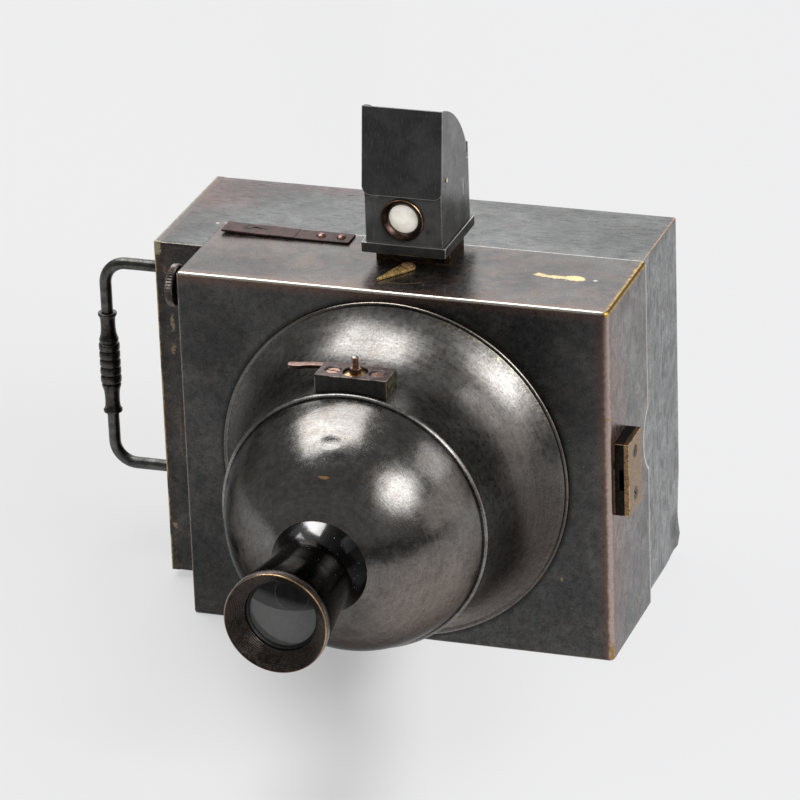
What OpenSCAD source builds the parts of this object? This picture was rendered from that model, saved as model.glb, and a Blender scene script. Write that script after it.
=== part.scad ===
// Metal-bodied plate camera with a ball-shaped front, a hemispherical
// rotary shutter, a slide-in changing magazine and a reflex finder.
// Millimetres. +X to the right as seen by someone facing the lens,
// -Y towards the subject, +Z up. The origin is the mouth of the tripod bush
// in the underside of the front box.

/* [Front box] */
// Width of the front box
body_w = 150; // [146:0.5:152]
// Height of the front box
body_h = 126.7; // [126.2:0.1:127.5]
// Depth of the front box, front sheet to open back
body_d = 45.8; // [44:0.1:47]
// Thickness of the brass sheet
sheet_t = 0.8; // [0.6:0.1:0.9]
// Distance from the front sheet back to the tripod bush
bush_setback = 13; // [12.5:0.1:13.4]

/* [Bell and ball front] */
// Height of the lens axis above the base
axis_z = 62.6; // [62:0.1:63.2]
// Radius of the bell where it meets the front box
bell_rim_r = 60.6; // [59:0.1:61]
// Radius of the bell at its front lip
bell_lip_r = 45.8; // [45.6:0.1:46.4]
// Length of the bell along the lens axis
bell_len = 42.1; // [41.5:0.1:43]
// How late the bell flares: 1 is a straight cone
bell_flare = 3.7; // [2.5:0.1:4.5]
// Outer radius of the ball front
ball_r = 45.2; // [45.0:0.05:45.3]
// Distance of the ball's centre in front of the front sheet
ball_fwd = 35.6; // [35.3:0.1:36]

/* [Lens] */
// Radius of the barrel's foot on the ball
barrel_foot_r = 16.3; // [15.6:0.1:17.2]
// Radius of the barrel's waist
barrel_r = 13.6; // [13.2:0.1:14.2]
// Radius of the barrel's mouth, behind the hood's rim
barrel_mouth_r = 17; // [16.2:0.1:17.1]
// Distance of the barrel's waist in front of the front sheet
waist_fwd = 89.4; // [88.5:0.1:92]
// Radius of the hood's rim
hood_rim_r = 17.2; // [16.8:0.1:18]
// Distance of the hood's rim in front of the front sheet
hood_fwd = 120.2; // [119:0.1:121]
// Number of grooves turned in the hood
hood_grooves = 10; // [6:1:12]
// Radius of the hole in the diaphragm stop
stop_r = 2.8; // [1.5:0.1:6]

/* [Shutter] */
// Outer radius of the rotating shutter shell
shutter_r = 43.5; // [43.2:0.1:43.6]
// Radius of the opening in the shutter shell
shutter_port_r = 12; // [9:0.5:14]
// Direction of the opening at rest, to the right of the lens axis
shutter_rest = 45; // [40:1:50]

/* [Magazine] */
// Left end of the magazine
mag_x0 = -92.7; // [-94:0.1:-91]
// Depth of the magazine
mag_d = 62.6; // [61:0.1:64]
// Number of plates
plates = 12; // [6:1:12]
// Spacing of the plates
plate_pitch = 3.6; // [3.2:0.1:3.7]

/* [Handle] */
// Distance between the handle's two arms
handle_span = 76; // [70:0.5:80]
// Distance of the grip from the magazine's end
handle_out = 31.6; // [28:0.1:34]
// Diameter of the handle rod
handle_rod_d = 4.2; // [3.8:0.1:4.6]
// Largest diameter of the turned grip
grip_d = 7.4; // [6.8:0.1:8]

/* [Finder] */
// Width of the finder body
finder_w = 26.8; // [26.2:0.1:27]
// Depth of the finder body
finder_d = 30; // [29.4:0.1:30.4]
// Radius of the finder lens that shows
finder_lens_r = 5.1; // [4.6:0.1:5.4]
// Length of the hood's lid
hood_lid = 30.2; // [29.4:0.1:30.4]

/* [Hidden] */
$fn = 64;
eps = 0.01;

yf = -bush_setback;             // front sheet
yb = yf + body_d;               // open back of the front box
hw = body_w / 2;
t = sheet_t;
yc = yf - ball_fwd;             // centre of the ball and axis of the shutter
lip_y = yf - bell_len;          // front lip of the bell

// bell profile: nearly straight behind the lip, then a growing flare
function bell_r_at(y) = bell_lip_r + (bell_rim_r - bell_lip_r) * pow((y - lip_y) / bell_len, bell_flare);
function bell_tilt(y) = atan(bell_flare * (bell_rim_r - bell_lip_r) / bell_len * pow((y - lip_y) / bell_len, bell_flare - 1));
// point i of n along the profile, off inwards from the outer surface
function bell_pt(i, n, off) = let (y = lip_y + bell_len * pow(i / n, 0.7))
  [bell_r_at(y) - off * cos(bell_tilt(y)), y + off * sin(bell_tilt(y))];

// turned and spun parts: profile points are [radius, y]
module lathe() { translate([0, 0, axis_z]) rotate([-90, 0, 0]) rotate_extrude($fn = 96) children(); }
module ball(r) { translate([0, yc, axis_z]) sphere(r = r, $fn = 96); }
module rod_y(r, y0, y1, x = 0, z = axis_z) { translate([x, y0, z]) rotate([-90, 0, 0]) cylinder(r = r, h = y1 - y0); }
module rod_x(r, x0, x1, y, z) { translate([x0, y, z]) rotate([0, 90, 0]) cylinder(r = r, h = x1 - x0); }
module rod_z(r, z0, z1, x = 0, y = 0) { translate([x, y, z0]) cylinder(r = r, h = z1 - z0); }
module box(x0, x1, y0, y1, z0, z1) { translate([x0, y0, z0]) cube([x1 - x0, y1 - y0, z1 - z0]); }
// rounded rectangle in X and Z, extruded along Y
module slab_y(x0, x1, z0, z1, y0, y1, r) {
  translate([0, y1, 0]) rotate([90, 0, 0]) linear_extrude(height = y1 - y0) union() {
    translate([x0 + r, z0]) square([x1 - x0 - 2 * r, z1 - z0]);
    translate([x0, z0 + r]) square([x1 - x0, z1 - z0 - 2 * r]);
    for (x = [x0 + r, x1 - r], z = [z0 + r, z1 - r]) translate([x, z]) circle(r = r);
  }
}
// slotted countersunk screw, head flush at z = 0, shank downwards
module cs_screw(head_r, shank_r, len, slot_w = 0.6) {
  difference() {
    union() {
      translate([0, 0, -(head_r - shank_r) * 0.7]) cylinder(r1 = shank_r, r2 = head_r, h = (head_r - shank_r) * 0.7);
      translate([0, 0, -len]) cylinder(r = shank_r, h = len - (head_r - shank_r) * 0.7 + eps);
    }
    translate([-head_r - 1, -slot_w / 2, -0.5]) cube([2 * head_r + 2, slot_w, 1]);
  }
}
module cs_hole(head_r, shank_r, len) {
  translate([0, 0, -(head_r - shank_r) * 0.7]) cylinder(r1 = shank_r, r2 = head_r, h = (head_r - shank_r) * 0.7 + eps);
  translate([0, 0, -len]) cylinder(r = shank_r, h = len);
}

// ---------------------------------------------------------------- front box
mouth_r = 52;                    // round mouth in the front sheet
catch_x = -66; catch_y = yf + 40.3;
knob_y = yf + 9; knob_z = 118;
sh_len = 26; sh_dep = 15.4;      // accessory shoes: length, depth
sh_base = 3.4; sh_cov = 1.8;
side_y = yf + 3.8; side_z = 65.6; // side shoe: front edge, centre height
top_x = -0.4; top_y = yf + 27.2;  // top shoe: centre, front edge
sel_x = -0.3; sel_y = yf + 20.8;  // pointer pivot
bell_hole_r = 55.3; bell_holes = 6;

module body_shell() color([0.17, 0.16, 0.15]) difference() {
  slab_y(-hw, hw, 0, body_h, yf, yb, 1.2);
  // inside, open at the back
  box(-hw + t, hw - t, yf + t, yb + 1, t, body_h - t);
  // the left wall stops short, so that the magazine can slide in
  box(-hw - 1, -hw + t + 1, yf + 25.2, yb + 1, t, body_h - t);
  rod_y(mouth_r, yf - 1, yf + t + 1);
  for (i = [0 : bell_holes - 1]) rotate_screw(i) rod_y(1.1, yf - 1, yf + t + 1, x = bell_hole_r, z = 0);
  // thumb notch in the right wall's back edge
  translate([hw - 2, yb + 8.4, 62.8]) rotate([0, 90, 0]) cylinder(r = 14, h = 4);
  rod_z(8.7, -1, t + 1, 0, 0);
  rod_z(1.5, body_h - t - 1, body_h + 1, catch_x, catch_y);
  rod_x(2.66, -hw - 1, -hw + t + 1, knob_y, knob_z);
  rod_z(1.05, body_h - t - 1, body_h + 1, sel_x, sel_y);
  for (x = [-37.3, -30.2]) rod_z(1.05, body_h - t - 1, body_h + 1, x, catch_y);
  for (s = [-7.65, 7.65]) {
    rod_z(1.05, body_h - t - 1, body_h + 1, top_x + s, top_y + 7.7);
    rod_x(1.05, hw - t - 1, hw + 1, side_y + 7.7, side_z + s);
  }
}
module rotate_screw(i) { translate([0, 0, axis_z]) rotate([0, 30 + i * 360 / bell_holes, 0]) children(); }

module channel_frame() color([0.10, 0.10, 0.10]) difference() {
  box(-hw + t, hw - t, yf + 25.2, yf + 26, t, body_h - t);
  box(-60, 60, yf + 24, yf + 27, axis_z - 46, axis_z + 46);
}

module channel_runners() color([0.35, 0.30, 0.20])
  for (y = [yf + 29, yf + 39]) box(-hw + 2, hw - t - 0.6, y, y + 4, t, 2.5);

module tripod_bush() color([0.72, 0.60, 0.34]) difference() {
  union() {
    rod_z(8.6, 0, 8, 0, 0);
    rod_z(10.6, t, 2.4, 0, 0);
  }
  rod_z(4.76, -1, 9, 0, 0);
}

// -------------------------------------------------------------- bell, ball
bell_n = 24;
// everything inside the bell's outer surface, to cut saddles with
module bell_core() { lathe() polygon(concat([[0, lip_y - 1], [bell_lip_r + 0.02, lip_y - 1]],
  [for (i = [0 : bell_n]) bell_pt(i, bell_n, -0.02)], [[0, yf]])); }
module bell() color([0.34, 0.32, 0.30]) difference() {
  lathe() polygon(concat(
    [for (i = [0 : bell_n]) bell_pt(i, bell_n, 0)],
    [[mouth_r + 0.3, yf], [mouth_r + 0.3, yf - t], [bell_rim_r - 1.9, yf - t]],
    [for (i = [1 : bell_n - 1]) bell_pt(bell_n - i, bell_n, t)], [[bell_pt(0, bell_n, t)[0], lip_y]]));
  for (i = [0 : bell_holes - 1]) rotate_screw(i) rod_y(1.1, yf - 3, yf + 1, x = bell_hole_r, z = 0);
  rod_z(3.2, axis_z + 40, axis_z + 50, 0, yc);
  rod_z(2.6, axis_z - 50, axis_z - 40, 0, yc);
  for (x = [-7.6, 7.6]) rod_z(1.1, axis_z + 40, axis_z + 50, x, yc);
}

module bell_screws() color([0.55, 0.45, 0.28])
  for (i = [0 : bell_holes - 1]) rotate_screw(i) difference() {
    union() {
      rod_y(1.05, yf - t - 0.1, yf + t + 1.6, x = bell_hole_r, z = 0);
      rod_y(2, yf - t - 1, yf - t, x = bell_hole_r, z = 0);
      rod_y(2.1, yf + t, yf + t + 1.4, x = bell_hole_r, z = 0);
    }
    box(bell_hole_r - 3, bell_hole_r + 3, yf - t - 1.5, yf - t - 0.5, -0.3, 0.3);
  }

module lip_ring() color([0.40, 0.38, 0.35]) lathe()
  polygon([[44.76, lip_y - 1.6], [45.0, lip_y - 1.6], [bell_lip_r, lip_y - 0.5], [bell_lip_r, lip_y], [44.76, lip_y]]);

ball_t = 0.8; ball_n = 26; ball_hole = 10.6;
function ball_pt(i, r) = let (p0 = asin(ball_hole / r), p1 = acos((yc - lip_y) / r), p = p0 + (p1 - p0) * i / ball_n)
  [r * sin(p), yc - r * cos(p)];
module ball_front() color([0.36, 0.34, 0.32]) lathe() polygon(concat(
  [for (i = [0 : ball_n]) ball_pt(i, ball_r)],
  [[ball_pt(ball_n, ball_r)[0], lip_y + 4], [ball_pt(ball_n, ball_r - ball_t)[0], lip_y + 4]],
  [for (i = [0 : ball_n]) ball_pt(ball_n - i, ball_r - ball_t)]));

// -------------------------------------------------------------------- lens
foot_y = yc - sqrt(ball_r * ball_r - barrel_foot_r * barrel_foot_r);
hood_y = yf - hood_fwd;
barrel_front = hood_y + 7.4;     // seat of the front lens
waist_y = yf - waist_fwd;
mouth_y = hood_y + 3.5;
flare_y = foot_y - 0.3;
fl_n = 10;                       // steps of the foot's flare
module lens_barrel() color([0.03, 0.03, 0.03]) difference() {
  lathe() polygon(concat(
    [[10.6, foot_y + 4], [barrel_foot_r, foot_y + 4], [barrel_foot_r, foot_y + 0.2]],
    [for (i = [0 : fl_n]) let (k = 1 - i / fl_n)
      [barrel_r + (barrel_foot_r - barrel_r) * (0.6 * k + 0.4 * k * k), waist_y + (flare_y - waist_y) * k]],
    [[barrel_mouth_r, mouth_y], [15.2, mouth_y], [15.2, barrel_front], [12, barrel_front], [12, barrel_front + 4.4], [10.6, barrel_front + 4.4],
     [10.6, foot_y - 8.4], [9.6, foot_y - 8.4], [9.6, foot_y - 7.4], [10.6, foot_y - 7.4]]));
  ball(ball_r + 0.05);
}

// hood: a turned band with a spigot that sits in the barrel's mouth
module lens_hood() color([0.16, 0.11, 0.08]) lathe()
  polygon(concat(
    [[hood_rim_r, hood_y + 0.3], [hood_rim_r, mouth_y - 0.3], [hood_rim_r - 0.15, mouth_y - 0.03], [15.15, mouth_y - 0.03],
     [15.15, barrel_front - 0.03], [12.1, barrel_front - 0.03]],
    [for (i = [0 : hood_grooves - 1], j = [0, 1]) let (k = i + j)
      [12.1 + (16.8 - 12.1) * k / hood_grooves, hood_y + 5.6 - 5.4 * i / hood_grooves]],
    [[16.8, hood_y]], [[hood_rim_r - 0.2, hood_y]]));

// plano-convex lens: vertex at y0, flat at y1, rim radius rr, curvature rc
module plano(y0, y1, rr, rc) lathe() polygon(concat([[0, y1]],
  [for (i = [0 : 10]) [rr * i / 10, y0 + sign(y1 - y0) * (rc - sqrt(rc * rc - pow(rr * i / 10, 2)))]], [[rr, y1]]));
fl_rc = 80;                      // curvature of the front lens
fl_y = barrel_front - 0.4;       // its vertex
module front_lens() color([0.75, 0.80, 0.82]) plano(fl_y, barrel_front + 4.35, 11.9, fl_rc);

function fl_at(r) = fl_y + fl_rc - sqrt(fl_rc * fl_rc - r * r) - 0.03;
module front_lens_ring() color([0.05, 0.05, 0.05]) lathe()
  polygon([[11.98, fl_y - 0.5], [11.98, fl_at(11.98)], [11.2, fl_at(11.2)], [11.2, fl_y + 0.2], [11.7, fl_y - 0.5]]);

module diaphragm_stop() color([0.05, 0.05, 0.05]) difference() {
  rod_y(10.56, barrel_front + 14, barrel_front + 14.5);
  rod_y(stop_r, barrel_front + 13, barrel_front + 16);
}

module rear_lens() color([0.75, 0.80, 0.82]) plano(foot_y - 3.5, foot_y - 7.35, 10.5, 34);
module rear_lens_ring() color([0.05, 0.05, 0.05]) difference() {
  rod_y(10.55, foot_y - 4.8, foot_y - 3.2);
  rod_y(9.4, foot_y - 8, foot_y);
}

// ----------------------------------------------------------------- shutter
blk_top = axis_z + 50.7; blk_bot = axis_z + 43.4;
blk_y0 = yc - 5.5; blk_y1 = yc + 5.5;
lev_z0 = blk_top - 3.9; lev_z1 = blk_top - 2.6;
module arbor_block() color([0.20, 0.17, 0.16]) difference() {
  box(-12.3, 12.3, blk_y0, blk_y1, blk_bot, blk_top);
  // saddle, cut to the bell's neck
  bell_core();
  rod_z(4.2, lev_z0 - 0.4, blk_top + 1, 0, yc);
  rod_z(2.05, blk_bot - 2, blk_top, 0, yc);
  for (x = [-7.6, 7.6]) translate([x, yc, blk_top]) cs_hole(2.95, 1.08, 12);
  // slot in which the release lever swings
  difference() {
    box(-13, -3.2, yc - 2.3, blk_y1 + 1, lev_z0 - 0.15, lev_z1 + 0.15);
    box(-14, -10.4, yc - 3, yc - 0.6, lev_z0 - 1, lev_z1 + 1);
  }
}

module arbor_block_screws() color([0.62, 0.36, 0.26])
  for (x = [-7.6, 7.6]) translate([x, yc, blk_top - 0.45]) rotate([0, 0, x > 0 ? 12 : -8]) cs_screw(2.25, 1.0, 6.7);

module shutter_arbor() color([0.60, 0.42, 0.22]) union() {
  rod_z(1.2, blk_top - 1.8, blk_top + 5.3, 0, yc);
  rod_z(2, axis_z + 33, blk_top - 1.8, 0, yc);
  // collar, and the six-sided part above it
  rod_z(3.8, blk_top - 1.6, blk_top - 0.75, 0, yc);
  translate([0, yc, blk_top - 0.8]) rotate([0, 0, 10]) cylinder(r = 2, h = 2.2, $fn = 6);
}
module shutter_disc() color([0.75, 0.55, 0.28]) difference() {
  rod_z(3.7, lev_z0, lev_z1, 0, yc);
  rod_z(2, lev_z0 - 1, lev_z1 + 1, 0, yc);
  translate([0, yc, 0]) rotate([0, 0, 150]) box(2.9, 5, -0.8, 0.8, lev_z0 - 1, lev_z1 + 1);
}

sh_t = 0.6;
module shutter_shell() color([0.12, 0.12, 0.13]) difference() {
  union() {
    intersection() {
      difference() { ball(shutter_r); ball(shutter_r - sh_t); }
      union() {
        translate([0, yc, axis_z]) rotate([0, 0, shutter_rest]) box(-60, 60, -60, 0, -60, 60);
        rod_z(8, axis_z - 60, axis_z + 60, 0, yc);
      }
    }
    intersection() {
      ball(shutter_r - 0.1);
      union() { rod_z(5, axis_z + shutter_r - 3.4, axis_z + shutter_r, 0, yc); rod_z(5, axis_z - shutter_r, axis_z - shutter_r + 3.4, 0, yc); }
    }
  }
  rod_z(2.03, axis_z + 20, axis_z + 60, 0, yc);
  rod_z(2.05, axis_z - 60, axis_z - 20, 0, yc);
  translate([0, yc, axis_z]) rotate([0, 0, shutter_rest]) rotate([90, 0, 0]) cylinder(r = shutter_port_r, h = 60);
}

module shutter_lower_pivot() color([0.50, 0.40, 0.28]) difference() {
  union() {
    rod_z(2, axis_z - 48, axis_z - 39.4, 0, yc);
    rod_z(4.4, axis_z - 48, axis_z - 44.6, 0, yc);
  }
  difference() {
    bell_core();
    rod_z(2.5, axis_z - 60, axis_z - 30, 0, yc);
  }
  box(-6, 6, yc - 0.4, yc + 0.4, axis_z - 49, axis_z - 47.2);
}

// mainspring: a flat spiral from the arbor out to the bracket
spr_n = 84; spr_turn = 3.5;
function spr_pt(i, o) = let (f = i / spr_n, r = 2.05 + 6.9 * f + o, a = 90 - 360 * spr_turn * (1 - f)) [r * cos(a), r * sin(a)];
module shutter_spring() color([0.45, 0.42, 0.38])
  translate([0, yc, axis_z + 34]) linear_extrude(height = 4.5)
    polygon(concat([for (i = [0 : spr_n]) spr_pt(i, 0)], [for (i = [0 : spr_n]) spr_pt(spr_n - i, 0.45)]));
brk_y = yc + 24;
module spring_bracket() color([0.35, 0.30, 0.22]) difference() {
  union() {
    box(-2.5, 2.5, yc + 9.4, brk_y, axis_z + 39.4, axis_z + 40.4);
    box(-2.5, 2.5, yc + 9.4, yc + 10.2, axis_z + 34, axis_z + 40.4);
    box(-2.5, 2.5, brk_y - 0.8, brk_y, axis_z + 39.4, axis_z + bell_r_at(brk_y - 0.8) - t + 0.4);
  }
  difference() { lathe() polygon(concat([for (i = [0 : bell_n]) bell_pt(i, bell_n, t)], [[70, yf], [70, lip_y]])); rod_y(1, 0, 1); }
}

// release lever, pivoted on the block's left screw
lv_x = -7.6;
module release_lever() color([0.62, 0.44, 0.38]) translate([lv_x, yc, lev_z0]) difference() {
  linear_extrude(height = lev_z1 - lev_z0) union() {
    circle(r = 2.1);
    polygon([[0.5, -1.9], [3.2, -1.0], [3.3, 0.4], [1.9, 1.2], [1.2, 1.9], [-0.4, 7.4], [-2.6, 10.0], [-7.4, 10.4],
      [-12.2, 9.7], [-14.6, 8.9], [-16.6, 8.6], [-16.9, 5.65], [-14.2, 5.8], [-11.8, 7.0], [-7.6, 8.0], [-4.4, 7.2],
      [-2.9, 5.6], [-1.9, 0.8], [-1.6, -1.2]]);
    translate([-16.75, 7.12]) circle(r = 1.5);
  }
  translate([0, 0, -1]) cylinder(r = 1.05, h = 4);
}

// ------------------------------------------------------------- small works
sel_rest = -117;                 // direction in which the pointer lies
sel_len = 14.2;
module selector_lever() color([0.70, 0.50, 0.20]) translate([sel_x, sel_y, body_h + 0.15]) rotate([0, 0, sel_rest]) difference() {
  union() {
    cylinder(r = 2.75, h = 0.9);
    linear_extrude(height = 0.9)
      polygon([[0.5, 2.65], [sel_len * 0.45, 1.75], [sel_len * 0.75, 0.8], [sel_len - 0.4, 0.35], [sel_len, 0], [sel_len - 0.4, -0.35], [sel_len * 0.75, -0.8], [sel_len * 0.45, -1.75], [0.5, -2.65]]);
  }
  translate([0, 0, -1]) cylinder(r = 1.05, h = 4);
}
module selector_screw() color([0.35, 0.22, 0.16]) difference() {
  union() {
    rod_z(1.0, body_h - t - 1.6, body_h + 1.2, sel_x, sel_y);
    rod_z(2.0, body_h + 1.15, body_h + 1.7, sel_x, sel_y);
    rod_z(2.0, body_h - t - 1.8, body_h - t, sel_x, sel_y);
  }
  translate([sel_x, sel_y, body_h + 1.35]) rotate([0, 0, 25]) box(-3, 3, -0.25, 0.25, 0, 1);
}

kn_n = 44;
module knob() color([0.25, 0.23, 0.21]) union() {
  translate([-hw - 2.4, knob_y, knob_z]) rotate([0, -90, 0]) linear_extrude(height = 2.9)
    polygon([for (i = [0 : 2 * kn_n - 1]) let (a = i * 180 / kn_n, r = i % 2 == 0 ? 7.25 : 6.9) [r * cos(a), r * sin(a)]]);
  rod_x(2, -hw - 2.5, -hw + 9, knob_y, knob_z);
  rod_x(3.4, -hw + 4.6, -hw + 6.4, knob_y, knob_z);
}
module knob_bush() color([0.40, 0.34, 0.24]) difference() {
  union() {
    rod_x(2.6, -hw - 2, -hw + 4.2, knob_y, knob_z);
    rod_x(4.2, -hw - 2, -hw, knob_y, knob_z);
    rod_x(4.2, -hw + t, -hw + 2.4, knob_y, knob_z);
  }
  rod_x(2.06, -hw - 3, -hw + 6, knob_y, knob_z);
}

cr_x = -46; leaf_w = 8;
module catch_root() color([0.38, 0.20, 0.15]) difference() {
  box(cr_x + 0.15, -26.4, catch_y - leaf_w / 2, catch_y + leaf_w / 2, body_h, body_h + 0.8);
  for (x = [-37.3, -30.2]) rod_z(1.05, body_h - 1, body_h + 2, x, catch_y);
}
module catch_leaf() color([0.38, 0.20, 0.15]) union() {
  difference() {
    box(-72, cr_x - 0.15, catch_y - leaf_w / 2, catch_y + leaf_w / 2, body_h + 0.15, body_h + 0.95);
    translate([0, 0, body_h - 1]) linear_extrude(height = 3)
      polygon([[-64.6, catch_y - 1.6], [-61.2, catch_y + 1.9], [-57.2, catch_y + 0.5], [-61.4, catch_y + 0.7]]);
  }
  rod_z(1.4, body_h - t, body_h + 0.2, catch_x, catch_y);
}
module catch_rivets() color([0.45, 0.28, 0.20])
  for (x = [-37.3, -30.2]) {
    rod_z(1.05, body_h - t, body_h + 0.8 + eps, x, catch_y);
    translate([x, catch_y, 0]) intersection() {
      translate([0, 0, body_h + 0.8 - 1.0]) sphere(r = 2.0, $fn = 48);
      rod_z(3, body_h + 0.8, body_h + 4);
    }
  }

// ------------------------------------------------------------------- shoes
// a shoe lies on z = 0, its slot opens towards -Y, x is its length
slot_w = 7.4; slot_h = 1.5;
module shoe_base() difference() {
  box(-sh_len / 2, sh_len / 2, 0, sh_dep, 0, sh_base);
  box(-slot_w / 2, slot_w / 2, -1, 12.6, sh_base - slot_h, sh_base + 1);
  for (s = [-7.65, 7.65]) rod_z(1.05, -1, sh_base + 1, s, 7.7);
}
module shoe_cover() difference() {
  box(-sh_len / 2, sh_len / 2, 0, sh_dep, sh_base, sh_base + sh_cov);
  for (s = [-7.65, 7.65]) translate([s, 7.7, sh_base + sh_cov]) cs_hole(2.46, 1.05, 4);
}
module shoe_screws() for (s = [-7.65, 7.65]) translate([s, 7.7, sh_base + sh_cov - 0.12]) rotate([0, 0, s * 6]) cs_screw(2.2, 1.0, sh_base + sh_cov + t - 0.16, 0.55);
module on_top() { translate([top_x, top_y, body_h]) children(); }
module on_side() { translate([hw, side_y, side_z]) rotate([0, 90, 0]) children(); }
module side_shoe() color([0.42, 0.33, 0.20]) on_side() shoe_base();
module side_shoe_cover() color([0.48, 0.38, 0.23]) on_side() shoe_cover();
module side_shoe_screws() color([0.20, 0.17, 0.14]) on_side() shoe_screws();
module top_shoe() color([0.30, 0.24, 0.16]) on_top() shoe_base();
module top_shoe_cover() color([0.30, 0.24, 0.16]) on_top() shoe_cover();
module top_shoe_screws() color([0.20, 0.17, 0.14]) on_top() shoe_screws();

// ------------------------------------------------------------------ finder
fz = body_h + 5.3;               // underside of the finder's base
fb = fz + 3.7;                   // top of the base
fy = yf + 19.8;                  // front of the finder body
fin_x = -0.8;                    // middle of the finder
base_x = -0.95; base_hw = 14.8; base_y1 = 38.8; // finder's base: middle, half width, back
fx0 = fin_x - finder_w / 2; fx1 = fin_x + finder_w / 2;
fl_x = -1.1; fl_z = 144.5;       // finder lens centre
pv_y = yf + 24.1; pv_z = 158.3;  // hood pivot
fback = fy + finder_d;
module finder_base() color([0.10, 0.10, 0.10]) union() {
  hull() for (s = [-1, 1]) {
    rod_z(0.6, fz + 0.35, fb, base_x + s * (base_hw - 0.6), fy - 0.2);
    rod_z(0.3, fz, fz + 0.2, base_x + s * (base_hw - 0.6), fy - 0.2);
    rod_z(1.4, fz + 0.35, fb, base_x + s * (base_hw - 1.4), base_y1 - 1.4);
    rod_z(1.1, fz, fz + 0.2, base_x + s * (base_hw - 1.4), base_y1 - 1.4);
  }
  // tongue that goes into the shoe
  box(top_x - 3.5, top_x + 3.5, top_y - 1.9, top_y - 0.5, body_h + sh_base - slot_h + 0.1, fz + 0.1);
  box(top_x - 3.5, top_x + 3.5, top_y - 1.9, top_y + 11.6, body_h + sh_base - slot_h + 0.1, body_h + sh_base - 0.1);
}
module finder_body() color([0.09, 0.09, 0.09]) difference() {
  union() {
    box(fx0, fx1, fy, fback, fb, 157.2);
    box(fx0, fx1, fback - 0.8, fback, fb, 162.6);
    for (x = [fx0, fx1 - 0.8]) {
      box(x, x + 0.8, pv_y - 2.4, fback, fb, 159.2);
      rod_x(2.0, x, x + 0.8, pv_y, pv_z);
    }
  }
  box(fx0 + 0.8, fx1 - 0.8, fy + 0.8, fback - 0.8, fb - 1, 164);
  rod_y(5.9, fy - 1, fy + 2, x = fl_x, z = fl_z);
  for (x = [fx0 - 1, fx1 - 1.5]) rod_x(0.6, x, x + 2.5, pv_y, pv_z);
}
module finder_lens_ring() color([0.20, 0.12, 0.09]) difference() {
  union() {
    rod_y(7.4, fy - 0.9, fy, x = fl_x, z = fl_z);
    rod_y(5.9, fy - 0.1, fy + 2.8, x = fl_x, z = fl_z);
  }
  translate([fl_x, fy - 1, fl_z]) rotate([-90, 0, 0]) cylinder(r1 = 6.5, r2 = finder_lens_r, h = 1.3);
  rod_y(finder_lens_r, fy - 2, fy + 4, x = fl_x, z = fl_z);
}
module finder_lens() color([0.86, 0.86, 0.78]) intersection() {
  rod_y(finder_lens_r, fy + 0.1, fy + 2.8, x = fl_x, z = fl_z);
  translate([fl_x, fy + 0.25 + 12, fl_z]) sphere(r = 12);
}
module finder_mirror() color([0.80, 0.82, 0.84])
  translate([fin_x, fy + 4.2, fb + 0.6]) rotate([43, 0, 0]) box(-12.1, 12.1, 0, 27.2, 0, 1.2);
module finder_screen() color([0.80, 0.82, 0.80]) box(fx0 + 0.85, fx1 - 0.85, fy + 0.85, fback - 0.85, 155.9, 157.2);

lid_t = 0.6; lid_tilt = 7;
cheek_gap = 0.1; cheek_t = 0.45; // cheeks: play beside the body, thickness
lid_x = finder_w / 2 + cheek_gap + cheek_t;
module finder_hood() color([0.11, 0.11, 0.12]) translate([fin_x, pv_y, pv_z]) rotate([-lid_tilt, 0, 0]) difference() {
  union() {
    // lid, with its two free lower corners rounded
    translate([0, -4.15, 0]) rotate([90, 0, 0]) linear_extrude(height = lid_t) union() {
      translate([-lid_x, -6.05 + 3]) square([2 * lid_x, hood_lid - 3]);
      translate([-lid_x + 3, -6.05]) square([2 * lid_x - 6, 4]);
      for (x = [-lid_x + 3, lid_x - 3]) translate([x, -6.05 + 3]) circle(r = 3);
    }
    // cheeks, with a flat curve from the lid's top to the back plate
    for (x = [-lid_x, lid_x - cheek_t]) intersection() {
      rod_x(35.3, x, x + cheek_t, -8.6, -10.8);
      box(x - 1, x + 2, -4.3, 22, -2.9, 24);
    }
  }
  for (x = [-lid_x - 1, lid_x - 2]) rod_x(0.66, x, x + 3, 0, 0);
}
module finder_pins() color([0.60, 0.52, 0.38])
  for (s = [-1, 1]) translate([fin_x, 0, 0]) union() {
    rod_x(0.6, s > 0 ? finder_w / 2 - 1.4 : -lid_x - 0.1, s > 0 ? lid_x + 0.1 : -finder_w / 2 + 1.4, pv_y, pv_z);
    rod_x(0.9, s > 0 ? lid_x + 0.06 : -lid_x - 0.36, s > 0 ? lid_x + 0.36 : -lid_x - 0.06, pv_y, pv_z);
  }

// ---------------------------------------------------------------- magazine
mx1 = 73.5; my0 = yf + 26.2; my1 = my0 + mag_d; mz0 = 2.6; mz1 = body_h - t - 0.1;
cap_t = 2.8;
wx = 59; wz = 44.5;              // half window
module magazine_case() color([0.20, 0.20, 0.21]) difference() {
  box(mag_x0 + cap_t, mx1, my0, my1, mz0, mz1);
  box(mag_x0 - 1, mx1 - t, my0 + t, my1 - t, mz0 + t, mz1 - t);
  box(-wx, wx, my0 - 1, my0 + 2, axis_z - wz, axis_z + wz);
}
hy = yf + 57.5;                  // handle arms
hz0 = 65 - handle_span / 2; hz1 = 65 + handle_span / 2;
module drawer_front() color([0.22, 0.20, 0.18]) difference() {
  union() {
    box(mag_x0, mag_x0 + cap_t, my0, my1, mz0, mz1);
    box(mag_x0 + cap_t - eps, mag_x0 + cap_t + 3, my0 + t + 0.4, my0 + t + 1.2, mz0 + t + 0.3, mz1 - t - 0.3);
  }
  for (z = [hz0, hz1]) rod_x(1.6, mag_x0 - 1, mag_x0 + cap_t + 1, hy, z);
}
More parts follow.
